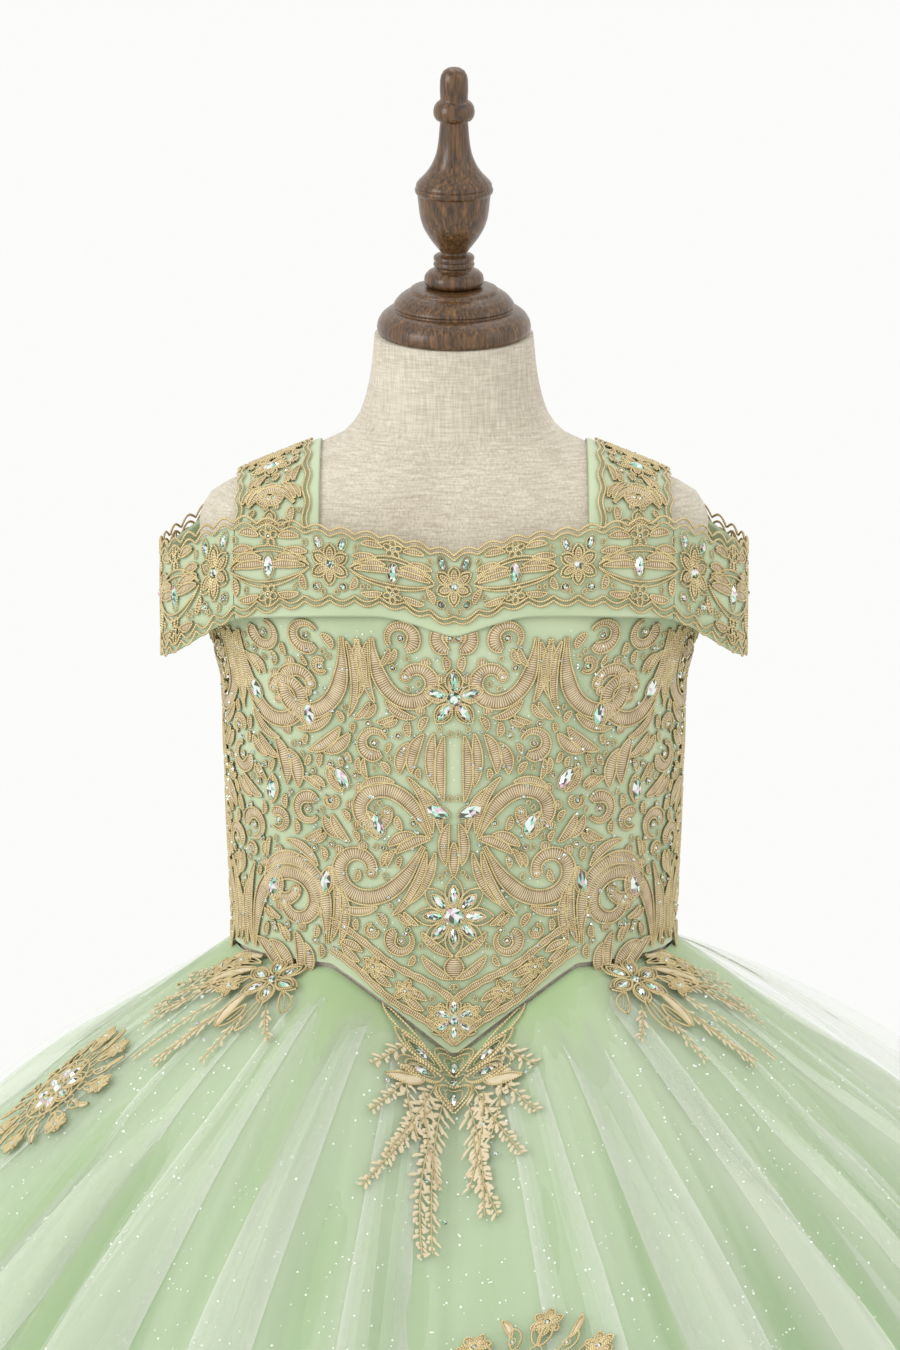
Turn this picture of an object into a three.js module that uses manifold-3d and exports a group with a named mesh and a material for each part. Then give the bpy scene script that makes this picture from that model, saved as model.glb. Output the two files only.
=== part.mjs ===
// An embroidered off-the-shoulder ball gown for a child of about six, on a limbless dress form with a
// turned wooden neck cap and finial. Millimetres, +Z up, the front faces -Y, the floor is z = 0 and
// the origin lies under the middle of the stand. Angles run round +Z: -90 degrees is the centre
// front, 0 the wearer's left side (+X) and 90 the centre back.
import * as THREE from "three";
import { mergeVertices } from "three/addons/utils/BufferGeometryUtils.js";
import Module from "manifold-3d";

const wasm = await Module();
wasm.setup();

// Heights, and the shares of the way to the side between which the armhole falls away
const WAIST = 700;
const HEM = 8;
const BODICE_TOP_FRONT = 900;
const BODICE_TOP_BACK = 896;
const ARMHOLE_DROP = 68;
const ARMHOLE_FROM = 0.83;
const ARMHOLE_TO = 0.985;

// The basque point of the bodice
const POINT_DROP = 45;
const POINT_HALF_WIDTH = 60.4;
const POINT_CURVE = 1.1;

// Cloth thicknesses and the gaps between layers
const FIT_GAP = 1.2;
const SEAM_GAP = 0.3;
const BODICE_WALL = 2.0;
const STRAP_WALL = 1.6;
const BAND_WALL = 1.8;
const LACE_WALL = 1.2;
const UNDERSKIRT_WALL = 1.2;
const TULLE_WALL = 2.0;
const RELIEF_HEIGHT = 1.1;

// The skirt
const UNDERSKIRT_HEM_RADIUS = 500;
const SKIRT_SPREAD = 2.6;
const SKIRT_FLARE = 0.22;
const SKIRT_SEAM_DROP = 3.6;
const UNDERSKIRT_WAVES = 12;
const UNDERSKIRT_WAVE_DEPTH = 3;
const TULLE_FOLDS = 36;
const TULLE_FOLD_DEPTH = 10.5;
const TULLE_STAND_AT_SEAM = 1.6;
const TULLE_STAND = 21;

// The straps, and the zip in the centre back
const STRAP_INNER_EDGE = 67;
const STRAP_OUTER_EDGE = 108;
const ZIP_TAPE_HALF = 3;
const ZIP_EDGE_GAP = 0.4;

// The stand
const BASE_RADIUS = 150;
const BASE_HEIGHT = 22;
const POLE_RADIUS = 12;

// The tilt of the neck plate, cap and finial towards the front, in degrees
const NECK_TILT = 8;
const NECK_TILT_FROM = 965;

// The dress form: half width, depth in front and behind, where the section's middle lies, and how
// square the section is (2 is an ellipse), from the hip up to the neck plate
const FORM_SECTIONS = [
  { z: 505, half: 112, front: 74, back: 80, mid: 0, square: 2.3 },
  { z: 560, half: 114, front: 79, back: 86, mid: 0, square: 2.3 },
  { z: 620, half: 112.5, front: 80, back: 84, mid: 0, square: 2.3 },
  { z: 700, half: 110.3, front: 77, back: 80, mid: 0, square: 2.3 },
  { z: 760, half: 112, front: 77, back: 81, mid: 0, square: 2.3 },
  { z: 800, half: 113.3, front: 77.5, back: 82, mid: 0, square: 2.3 },
  { z: 832, half: 114, front: 77, back: 82, mid: 0, square: 2.3 },
  { z: 850, half: 118, front: 76, back: 81, mid: 0, square: 2.3 },
  { z: 870, half: 123.5, front: 74, back: 79, mid: 0, square: 2.3 },
  { z: 895, half: 128, front: 70, back: 75, mid: 0, square: 2.3 },
  { z: 915, half: 129, front: 64, back: 69, mid: 2, square: 2.3 },
  { z: 927, half: 124, front: 58, back: 62, mid: 4, square: 2.3 },
  { z: 937, half: 106, front: 52, back: 55, mid: 5, square: 2.2 },
  { z: 946, half: 84, front: 47, back: 50, mid: 6, square: 2.1 },
  { z: 953, half: 67, front: 43.5, back: 46, mid: 6, square: 2 },
  { z: 959, half: 55, front: 41, back: 43.5, mid: 6, square: 2 },
  { z: 970, half: 47, front: 39.5, back: 41.5, mid: 5, square: 2 },
  { z: 990, half: 42, front: 38, back: 39.5, mid: 2, square: 2 },
  { z: 1009, half: 40, front: 38, back: 38, mid: -1, square: 2 },
];
const FORM_COLUMNS = 40;

// The band round the shoulders: its lower and upper edges by the distance across from the middle
const SHOULDER_BAND_HALF = 149;
const SHOULDER_BAND_EDGES = [
  { across: 0, lower: 867, upper: 905 },
  { across: 40, lower: 877, upper: 914 },
  { across: 104, lower: 874, upper: 919 },
  { across: 149, lower: 847, upper: 899 },
];

// The main scrolls of the bodice's embroidery, on the flat front: where each starts, measured from
// the centre front and the floor, its first heading, its length, how far it turns in degrees, and
// the width of its raised stitching. Each is mirrored on the other half.
const SCROLLS = [
  { across: 16, z: 706, heading: 100, long: 112, turn: -400, wide: 6.5 },
  { across: 18, z: 862, heading: -95, long: 92, turn: 380, wide: 6 },
  { across: 88, z: 706, heading: 86, long: 104, turn: 400, wide: 6.5 },
  { across: 84, z: 862, heading: -85, long: 92, turn: -380, wide: 6 },
  { across: 102, z: 706, heading: 94, long: 104, turn: -400, wide: 6.5 },
  { across: 100, z: 862, heading: -95, long: 90, turn: 380, wide: 6 },
];
const SCROLL_CURL = 2.2;
const SCROLL_STEPS = 24;

const radians = THREE.MathUtils.degToRad;
const lerp = THREE.MathUtils.lerp;
const smoothstep = (low, high, x) => THREE.MathUtils.smoothstep(x, low, high);

// A smooth curve through the rows of a table that never overshoots them: the slope at a row is the
// harmonic mean of the slopes on its two sides, and 0 where they point opposite ways.
function slopeAt(rows, key, by, i) {
  const rise = (k) => (rows[k + 1][key] - rows[k][key]) / (rows[k + 1][by] - rows[k][by]);
  if (i === 0) return rise(0);
  if (i === rows.length - 1) return rise(i - 1);
  const [before, after] = [rise(i - 1), rise(i)];
  return before * after > 0 ? (2 * before * after) / (before + after) : 0;
}

function tableValue(rows, key, by, at) {
  let i = 0;
  while (i < rows.length - 2 && at > rows[i + 1][by]) i += 1;
  const [low, high] = [rows[i], rows[i + 1]];
  const span = high[by] - low[by];
  const s = THREE.MathUtils.clamp((at - low[by]) / span, 0, 1);
  const [m0, m1] = [slopeAt(rows, key, by, i) * span, slopeAt(rows, key, by, i + 1) * span];
  return (
    (2 * s ** 3 - 3 * s ** 2 + 1) * low[key] +
    (s ** 3 - 2 * s ** 2 + s) * m0 +
    (3 * s ** 2 - 2 * s ** 3) * high[key] +
    (s ** 3 - s ** 2) * m1
  );
}

const formValue = (key, z) => tableValue(FORM_SECTIONS, key, "z", z);
const signedPower = (x, power) => Math.sign(x) * Math.abs(x) ** power;

// A point of the form's section at a height, moved out by offset
function bodyPoint(angle, z, offset) {
  const power = 2 / formValue("square", z);
  const depth = formValue(Math.sin(angle) < 0 ? "front" : "back", z);
  const x = (formValue("half", z) + offset) * signedPower(Math.cos(angle), power);
  const y = formValue("mid", z) + (depth + offset) * signedPower(Math.sin(angle), power);
  return new THREE.Vector3(x, y, z);
}

// The share of the way from the centre front or back (0) to the side (1)
const sideShare = (angle) => Math.abs(Math.cos(angle));
const isFront = (angle) => Math.sin(angle) < 0;

// Triangles from a list of points and corner triples, turned so that they face out
function solidFrom(points, corners) {
  let volume = 0;
  for (const [a, b, c] of corners) {
    volume += points[a].dot(new THREE.Vector3().crossVectors(points[b], points[c]));
  }
  const facing = volume < 0 ? corners.map(([a, b, c]) => [a, c, b]) : corners;
  const geometry = new THREE.BufferGeometry();
  geometry.setAttribute(
    "position",
    new THREE.Float32BufferAttribute(points.flatMap((p) => p.toArray()), 3),
  );
  geometry.setIndex(facing.flat());
  return geometry;
}

// A cloth wall over a grid of columns and rows. outer(u, v) and inner(u, v) give its two faces for
// u and v from 0 to 1. The inner face has one point for every coarse points of the outer face.
function clothWall(columns, rows, outer, inner, coarse = 1) {
  const points = [];
  const corners = [];
  const face = (across, up, at, turned) => {
    const first = points.length;
    for (let j = 0; j <= up; j += 1) {
      for (let i = 0; i <= across; i += 1) points.push(at(i / across, j / up));
    }
    const index = (i, j) => first + j * (across + 1) + i;
    for (let j = 0; j < up; j += 1) {
      for (let i = 0; i < across; i += 1) {
        const [a, b, c, d] = [index(i, j), index(i + 1, j), index(i + 1, j + 1), index(i, j + 1)];
        corners.push(...(turned ? [[a, c, b], [a, d, c]] : [[a, b, c], [a, c, d]]));
      }
    }
    return index;
  };
  const out = face(columns, rows, outer, false);
  const back = face(columns / coarse, rows / coarse, inner, true);
  // The rim: a fan from each inner point over the outer points of its stretch
  const rim = (count, outerIndex, innerIndex, turned) => {
    const add = (a, b, c) => corners.push(turned ? [a, c, b] : [a, b, c]);
    for (let k = 0; k < count / coarse; k += 1) {
      const [near, far] = [innerIndex(k), innerIndex(k + 1)];
      for (let m = 0; m < coarse; m += 1) {
        add(near, outerIndex(k * coarse + m + 1), outerIndex(k * coarse + m));
      }
      add(near, far, outerIndex((k + 1) * coarse));
    }
  };
  const [lastColumn, lastRow] = [columns / coarse, rows / coarse];
  rim(columns, (i) => out(i, 0), (i) => back(i, 0), false);
  rim(columns, (i) => out(i, rows), (i) => back(i, lastRow), true);
  rim(rows, (j) => out(0, j), (j) => back(0, j), true);
  rim(rows, (j) => out(columns, j), (j) => back(lastColumn, j), false);
  return solidFrom(points, corners);
}

// A closed stack of rings of equal count, each an array of points, with a flat fan at both ends
function ringStack(rings) {
  const count = rings[0].length;
  const points = rings.flat();
  const corners = [];
  for (let j = 0; j < rings.length - 1; j += 1) {
    for (let i = 0; i < count; i += 1) {
      const [a, b] = [j * count + i, j * count + ((i + 1) % count)];
      corners.push([a, b, b + count], [a, b + count, a + count]);
    }
  }
  const middle = (ring) =>
    ring.reduce((sum, p) => sum.add(p), new THREE.Vector3()).divideScalar(count);
  const [bottom, top] = [points.length, points.length + 1];
  points.push(middle(rings[0]), middle(rings.at(-1)));
  const last = (rings.length - 1) * count;
  for (let i = 0; i < count; i += 1) {
    const next = (i + 1) % count;
    corners.push([bottom, next, i], [top, last + i, last + next]);
  }
  return solidFrom(points, corners);
}

// A turned solid: radius and height pairs from the foot on the axis to the head on the axis
function turned(profile, segments) {
  const outline = profile.map(([radius, height]) => new THREE.Vector2(radius, height));
  return new THREE.LatheGeometry(outline, segments).rotateX(Math.PI / 2);
}

const WOOD = { color: 0x5a3d26, roughness: 0.42, metalness: 0 };
const STEEL = { color: 0xb9bcc0, roughness: 0.25, metalness: 1 };
const LINEN = { color: 0xd9d0c1, roughness: 0.95, metalness: 0 };
const SATIN = { color: 0xa9cfa6, roughness: 0.55, metalness: 0 };
const ZIP_CLOTH = { color: 0x9cc39a, roughness: 0.7, metalness: 0 };
const TULLE = { color: 0xc2e0bd, roughness: 0.8, metalness: 0 };
const LACE = { color: 0xbfa06a, roughness: 0.5, metalness: 0.3 };

const gown = new THREE.Group();

function add(name, geometry, material, parent = gown) {
  const mesh = new THREE.Mesh(geometry, new THREE.MeshStandardMaterial(material));
  mesh.name = name;
  parent.add(mesh);
  return mesh;
}

// The stand: a turned base and a steel pole up to the form's underside
const FORM_FOOT = FORM_SECTIONS[0].z;
const BASE_PROFILE = [
  [0, 0], [BASE_RADIUS - 2, 0], [BASE_RADIUS, 3], [BASE_RADIUS - 1, 9], [BASE_RADIUS - 8, 14],
  [40, 17], [28, BASE_HEIGHT], [0, BASE_HEIGHT],
];
const POLE_PROFILE = [
  [0, BASE_HEIGHT + SEAM_GAP], [POLE_RADIUS, BASE_HEIGHT + SEAM_GAP],
  [POLE_RADIUS, FORM_FOOT - SEAM_GAP], [0, FORM_FOOT - SEAM_GAP],
];
add("stand_base", turned(BASE_PROFILE, 32), WOOD);
add("stand_pole", turned(POLE_PROFILE, 16), STEEL);

// The neck plate leans forward: a neck point is lower in front than behind
function leaned(point) {
  const share = smoothstep(NECK_TILT_FROM, FORM_SECTIONS.at(-1).z, point.z);
  const lean = Math.tan(radians(NECK_TILT)) * share * (point.y - formValue("mid", point.z));
  return point.clone().setZ(point.z + lean);
}

function formRing(z) {
  return Array.from({ length: FORM_COLUMNS }, (_, i) =>
    leaned(bodyPoint((i / FORM_COLUMNS) * 2 * Math.PI, z, 0)),
  );
}
add("dress_form", ringStack(FORM_SECTIONS.map((row) => formRing(row.z))), LINEN);

// The neck cap and the finial stand square to the leaning neck plate
const neckTop = FORM_SECTIONS.at(-1);
const neckGroup = new THREE.Group();
neckGroup.position.set(0, neckTop.mid, neckTop.z);
neckGroup.rotation.x = radians(NECK_TILT);
gown.add(neckGroup);

const CAP_PROFILE = [
  [0, SEAM_GAP], [37.6, SEAM_GAP], [38.7, 2.9], [38.6, 5.9], [37, 9.3], [34, 12.2], [30.5, 13.9],
  [27.5, 19.1], [23.5, 21.6], [22, 23.5], [17, 24.7], [0, 24.7],
];
const FINIAL_PROFILE = [
  [0, 25], [13.5, 25], [14.9, 27.9], [13.2, 32.3], [9.6, 34.3], [10.4, 36.3], [10.4, 39.8], [6.5, 42.1],
  [12.8, 50.5], [17.2, 60.8], [18.1, 71.5], [19.6, 73.5], [19.4, 76.9], [14.5, 81.8], [10.2, 88.7],
  [7.9, 96], [7, 107.8], [10.3, 111.2], [10.3, 116.1], [7, 119.4], [7, 129.4], [5.2, 133.8], [0, 136],
];
add("neck_cap", turned(CAP_PROFILE, 24), WOOD, neckGroup);
add("finial", turned(FINIAL_PROFILE, 16), WOOD, neckGroup);

// The bodice's edges. The armhole falls away towards the side, and the basque point hangs in front.
function bodiceTop(angle) {
  const level = isFront(angle) ? BODICE_TOP_FRONT : BODICE_TOP_BACK;
  return level - ARMHOLE_DROP * smoothstep(ARMHOLE_FROM, ARMHOLE_TO, sideShare(angle));
}
function bodiceBottom(angle) {
  if (!isFront(angle)) return WAIST;
  const across = Math.abs(bodyPoint(angle, WAIST, 0).x);
  return WAIST - POINT_DROP * Math.max(0, 1 - across / POINT_HALF_WIDTH) ** POINT_CURVE;
}

// The distance round the cloth from the centre front at an angle, on the section at chest height
const ARC_STEPS = 180;
const CHEST_Z = 790;
const arcTable = [0];
for (let i = 1; i <= ARC_STEPS; i += 1) {
  const spotAt = (k) => bodyPoint((k / ARC_STEPS - 0.5) * Math.PI, CHEST_Z, BODICE_WALL);
  const [before, after] = [spotAt(i - 1), spotAt(i)];
  arcTable.push(arcTable[i - 1] + before.distanceTo(after));
}
function acrossAt(angle) {
  const fromFront = Math.abs(Math.asin(Math.sin(angle)) + Math.PI / 2);
  const at = (fromFront / Math.PI) * ARC_STEPS;
  const i = Math.min(Math.floor(at), ARC_STEPS - 1);
  return lerp(arcTable[i], arcTable[i + 1], at - i);
}

// A scroll's middle line: its heading turns ever faster, so that the end curls in
function scrollLine(scroll) {
  const step = scroll.long / SCROLL_STEPS;
  let [across, z] = [scroll.across, scroll.z];
  return Array.from({ length: SCROLL_STEPS + 1 }, (_, k) => {
    const spot = { across, z };
    const heading = radians(scroll.heading + scroll.turn * (k / SCROLL_STEPS) ** SCROLL_CURL);
    across += Math.cos(heading) * step;
    z += Math.sin(heading) * step;
    return spot;
  });
}
const SCROLL_LINES = SCROLLS.map(scrollLine);

// The raised bands along the basque point, by their height above the bodice's lower edge
const POINT_BANDS = [{ low: 2, high: 9 }, { low: 13, high: 20 }];

// The raised scrolls fade out over a short height below the shoulder band, which covers them there
const RELIEF_TOP = 862;
const RELIEF_FADE = 8;

function reliefAt(angle, z) {
  const across = acrossAt(angle);
  const share = SCROLL_LINES.reduce((highest, line, i) => {
    const distance = Math.min(...line.map((spot) => Math.hypot(spot.across - across, spot.z - z)));
    return Math.max(highest, 1 - smoothstep(SCROLLS[i].wide / 3, SCROLLS[i].wide, distance));
  }, 0);
  const rise = z - bodiceBottom(angle);
  const banded = isFront(angle) && POINT_BANDS.some((band) => rise >= band.low && rise <= band.high);
  const fade = 1 - smoothstep(RELIEF_TOP - RELIEF_FADE, RELIEF_TOP, z);
  return RELIEF_HEIGHT * (banded ? 1 : share * fade);
}

// The angle at which a section is a given distance across, on the back
function backAngle(across, z) {
  const power = formValue("square", z) / 2;
  return Math.acos((across / formValue("half", z)) ** power);
}

function bodicePanel(columns, rows, angleAt, coarse) {
  const place = (u, v, offset, raised) => {
    const rough = angleAt(u, lerp(WAIST, BODICE_TOP_BACK, v));
    const z = lerp(bodiceBottom(rough), bodiceTop(rough), v);
    const angle = angleAt(u, z);
    return bodyPoint(angle, z, offset + (raised ? reliefAt(angle, z) : 0));
  };
  const outer = (u, v) => place(u, v, FIT_GAP + BODICE_WALL, true);
  const inner = (u, v) => place(u, v, FIT_GAP, false);
  return clothWall(columns, rows, outer, inner, coarse);
}
// Half the angle that the side seam takes between two panels
const SIDE_SEAM = radians(0.15);
const zipEdge = (z) => backAngle(ZIP_TAPE_HALF + ZIP_EDGE_GAP, z);
const frontAngle = (u) => lerp(-Math.PI + SIDE_SEAM, -SIDE_SEAM, u);
const backLeftAngle = (u, z) => lerp(SIDE_SEAM, zipEdge(z), u);
const backRightAngle = (u, z) => Math.PI - lerp(zipEdge(z), SIDE_SEAM, u);
add("bodice_front", bodicePanel(48, 28, frontAngle, 2), SATIN);
add("bodice_back_left", bodicePanel(16, 14, backLeftAngle, 1), SATIN);
add("bodice_back_right", bodicePanel(16, 14, backRightAngle, 1), SATIN);

// The zip's closed chain and tape fill the slit of the centre back
const ZIP_WALL = 1.6;
function zipTape() {
  const face = (offset) => (u, v) => {
    const z = lerp(WAIST, BODICE_TOP_BACK, v);
    const reach = backAngle(ZIP_TAPE_HALF, z);
    return bodyPoint(lerp(reach, Math.PI - reach, u), z, offset);
  };
  return clothWall(2, 14, face(FIT_GAP + ZIP_WALL), face(FIT_GAP));
}
add("zip_tape", zipTape(), ZIP_CLOTH);

// The slider stands at the top of the closed zip and has two lugs. The pull tab hangs between them
// from its barrel and swings out and up about the lugs' middle line.
const SLIDER_Z = 880;
const TAB_HALF = 2.3;
const TAB_LONG = 19;
const TAB_THICK = 1.2;
const LUG_THICK = 1;
const LUG_GAP = 0.3;
const PIVOT_OUT = 3.2;
const PIVOT_UP = 3.5;
const BARREL_RADIUS = 1.1;

// The slider's flat underside stands clear of the curved chain below it
const SLIDER_CLEARANCE = 1.2;
const sliderY = bodyPoint(Math.PI / 2, SLIDER_Z, FIT_GAP + ZIP_WALL + SLIDER_CLEARANCE).y;
const sliderGroup = new THREE.Group();
sliderGroup.position.set(0, sliderY, SLIDER_Z);
gown.add(sliderGroup);

// An extruded outline of depth and height, pushed through from one side to the other along X
function acrossSolid(outline, fromX, toX) {
  const shape = new THREE.Shape(outline.map(([y, z]) => new THREE.Vector2(y, z)));
  const geometry = new THREE.ExtrudeGeometry(shape, { depth: toX - fromX, bevelEnabled: false });
  // The outline's x and y become Y and Z, and the push becomes X
  const turn = new THREE.Matrix4().set(0, 0, 1, fromX, 1, 0, 0, 0, 0, 1, 0, 0, 0, 0, 0, 1);
  return geometry.applyMatrix4(turn);
}

const lugInner = TAB_HALF + LUG_GAP;
const lugOuter = lugInner + LUG_THICK;
const plateOutline = [[0, -6], [0.9, -6], [1.3, -4], [1.3, 5], [0.8, 7], [0, 7]];
const lugOutline = [
  [0.6, -1], [PIVOT_OUT, PIVOT_UP - 2], [PIVOT_OUT + 1.5, PIVOT_UP - 1],
  [PIVOT_OUT + 1.5, PIVOT_UP + 1], [PIVOT_OUT, PIVOT_UP + 2], [0.6, 5],
];
const sliderParts = [
  acrossSolid(plateOutline, -lugOuter, lugOuter),
  acrossSolid(lugOutline, -lugOuter, -lugInner),
  acrossSolid(lugOutline, lugInner, lugOuter),
];

// A closed three.js geometry as a manifold solid, and back
function toSolid(geometry) {
  const bare = geometry.clone();
  bare.deleteAttribute("normal");
  bare.deleteAttribute("uv");
  const merged = mergeVertices(bare, 1e-4);
  const index = merged.index ?? { array: [...Array(merged.attributes.position.count).keys()] };
  const mesh = new wasm.Mesh({
    numProp: 3,
    vertProperties: new Float32Array(merged.attributes.position.array),
    triVerts: new Uint32Array(index.array),
  });
  return new wasm.Manifold(mesh);
}
function fromSolid(solid) {
  const mesh = solid.getMesh();
  const geometry = new THREE.BufferGeometry();
  geometry.setAttribute("position", new THREE.BufferAttribute(mesh.vertProperties, 3));
  geometry.setIndex(new THREE.BufferAttribute(mesh.triVerts, 1));
  return geometry;
}
add("zip_slider", fromSolid(wasm.Manifold.union(sliderParts.map(toSolid))), STEEL, sliderGroup);

// The tab's side view: half a barrel round the pivot, then a flat plate that hangs from it
const BARREL_STEPS = 12;
const tabOutline = [
  [-TAB_THICK / 2, -TAB_LONG],
  [TAB_THICK / 2, -TAB_LONG],
  ...Array.from({ length: BARREL_STEPS + 1 }, (_, k) => {
    const turn = lerp(-60, 240, k / BARREL_STEPS);
    return [BARREL_RADIUS * Math.cos(radians(turn)), BARREL_RADIUS * Math.sin(radians(turn))];
  }),
];
const pullTab = add("zip_pull_tab", acrossSolid(tabOutline, -TAB_HALF, TAB_HALF), STEEL, sliderGroup);
pullTab.position.set(0, PIVOT_OUT, PIVOT_UP);

// A strap: a strip that lies over the shoulder at a constant distance across from the middle. Its
// line in the side view goes up the front, over the top and down the back.
const STRAP_LINE_STEPS = 60;
const STRAP_FOOT_STEPS = 8;
const STRAP_SEAM = SEAM_GAP + 0.2;
const SHOULDER_SEARCH = { low: 915, high: 956, steps: 30 };

function shoulderTop(across) {
  let { low, high } = SHOULDER_SEARCH;
  for (let k = 0; k < SHOULDER_SEARCH.steps; k += 1) {
    const z = (low + high) / 2;
    if (formValue("half", z) + FIT_GAP > across) low = z;
    else high = z;
  }
  return low;
}
function strapLeg(across, back, offset) {
  const depth = back ? "back" : "front";
  const pointAt = (z) => {
    const share = Math.min(1, across / (formValue("half", z) + offset));
    const power = formValue("square", z);
    const reach = (formValue(depth, z) + offset) * (1 - share ** power) ** (1 / power);
    return new THREE.Vector3(across, formValue("mid", z) + (back ? reach : -reach), z);
  };
  let foot = BODICE_TOP_FRONT;
  for (let k = 0; k < STRAP_FOOT_STEPS; k += 1) {
    const share = across / (formValue("half", foot) + offset);
    const angle = Math.acos(share ** (formValue("square", foot) / 2));
    foot = bodiceTop(back ? angle : -angle) + STRAP_SEAM;
  }
  const top = shoulderTop(across);
  return Array.from({ length: STRAP_LINE_STEPS + 1 }, (_, k) =>
    pointAt(lerp(foot, top, 1 - (1 - k / STRAP_LINE_STEPS) ** 2)),
  );
}
function strapLine(across) {
  const line = [...strapLeg(across, false, FIT_GAP), ...strapLeg(across, true, FIT_GAP).reverse()];
  const lengths = [0];
  for (let k = 1; k < line.length; k += 1) {
    lengths.push(lengths[k - 1] + line[k].distanceTo(line[k - 1]));
  }
  return (v) => {
    const at = v * lengths.at(-1);
    let k = 0;
    while (k < line.length - 2 && lengths[k + 1] < at) k += 1;
    const share = (at - lengths[k]) / Math.max(1e-9, lengths[k + 1] - lengths[k]);
    return line[k].clone().lerp(line[k + 1], Math.min(1, share));
  };
}
const STRAP_COLUMNS = 5;
const STRAP_ROWS = 20;
function strap(side) {
  const inner = (u, v) => strapLine(lerp(STRAP_INNER_EDGE, STRAP_OUTER_EDGE, u))(v);
  const outer = (u, v) => {
    const step = 0.02;
    const [u0, v0] = [Math.min(u, 1 - step), Math.min(v, 1 - step)];
    const across = inner(u0 + step, v0).sub(inner(u0, v0));
    const along = inner(u0, v0 + step).sub(inner(u0, v0));
    const out = across.cross(along).normalize();
    return inner(u, v).addScaledVector(out, STRAP_WALL);
  };
  const mirrored = (face) => (u, v) => face(u, v).multiply(new THREE.Vector3(side, 1, 1));
  return clothWall(STRAP_COLUMNS, STRAP_ROWS, mirrored(outer), mirrored(inner));
}
add("strap_left", strap(1), SATIN);
add("strap_right", strap(-1), SATIN);

// The folded satin band that runs round the shoulders below the straps, and the lace on it
const BAND_CLEARANCE = 0.5;
const BAND_SQUARE = 2.3;
function bandPoint(angle, v, out, upTo) {
  const across = SHOULDER_BAND_HALF * Math.abs(signedPower(Math.cos(angle), 2 / BAND_SQUARE));
  const lower = tableValue(SHOULDER_BAND_EDGES, "lower", "across", across) + upTo.low;
  const upper = tableValue(SHOULDER_BAND_EDGES, "upper", "across", across) + upTo.high;
  const middleZ = lerp(SHOULDER_BAND_EDGES[0].lower, SHOULDER_BAND_EDGES[0].upper, v);
  const bodiceDepth = formValue(isFront(angle) ? "front" : "back", middleZ) + FIT_GAP + BODICE_WALL;
  const depth = bodiceDepth + BAND_CLEARANCE + out;
  const half = SHOULDER_BAND_HALF - BAND_WALL - LACE_WALL + out;
  return new THREE.Vector3(
    half * signedPower(Math.cos(angle), 2 / BAND_SQUARE),
    depth * signedPower(Math.sin(angle), 2 / BAND_SQUARE),
    lerp(lower, upper, v),
  );
}
const BAND_PIECES = [
  { name: "front", from: -135, to: -45, columns: 12 },
  { name: "sleeve_left", from: -45, to: 45, columns: 12 },
  { name: "back_left", from: 45, to: 87.6, columns: 6 },
  { name: "back_right", from: 92.4, to: 135, columns: 6 },
  { name: "sleeve_right", from: 135, to: 225, columns: 12 },
];
const BAND_SEAM_GAP = 0.1;
const LACE_LOW = 9;
const LACE_HIGH = 1.5;
for (const piece of BAND_PIECES) {
  const wall = (innerOut, thickness, upTo, rows) => {
    const face = (out) => (u, v) => {
      const angle = radians(lerp(piece.from + BAND_SEAM_GAP, piece.to - BAND_SEAM_GAP, u));
      return bandPoint(angle, v, out, upTo);
    };
    return clothWall(piece.columns, rows, face(innerOut + thickness), face(innerOut));
  };
  add(`band_${piece.name}`, wall(0, BAND_WALL, { low: 0, high: 0 }, 2), SATIN);
  const laceEdges = { low: LACE_LOW, high: LACE_HIGH };
  add(`lace_${piece.name}`, wall(BAND_WALL + SEAM_GAP, LACE_WALL, laceEdges, 2), LACE);
}

// The skirts: a dome from the bodice's lower edge to a round hem, worked out on its own meridian.
// A point is moved out along the meridian's normal by stand.
function skirtPoint(angle, down, stand) {
  const topZ = bodiceBottom(angle) - SKIRT_SEAM_DROP;
  const top = bodyPoint(angle, topZ, FIT_GAP);
  const rim = new THREE.Vector2(Math.cos(angle), Math.sin(angle)).multiplyScalar(
    UNDERSKIRT_HEM_RADIUS,
  );
  const spread = lerp(1 - (1 - down) ** SKIRT_SPREAD, down, SKIRT_FLARE);
  const run = rim.clone().sub(new THREE.Vector2(top.x, top.y));
  const fall = topZ - HEM;
  const widening = lerp(SKIRT_SPREAD * (1 - down) ** (SKIRT_SPREAD - 1), 1, SKIRT_FLARE);
  const steep = run.length() * widening;
  const out = fall / Math.hypot(fall, steep);
  const up = steep / Math.hypot(fall, steep);
  return new THREE.Vector3(
    top.x + run.x * spread + stand * out * Math.cos(angle),
    top.y + run.y * spread + stand * out * Math.sin(angle),
    topZ - fall * down + stand * up,
  );
}

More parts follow.
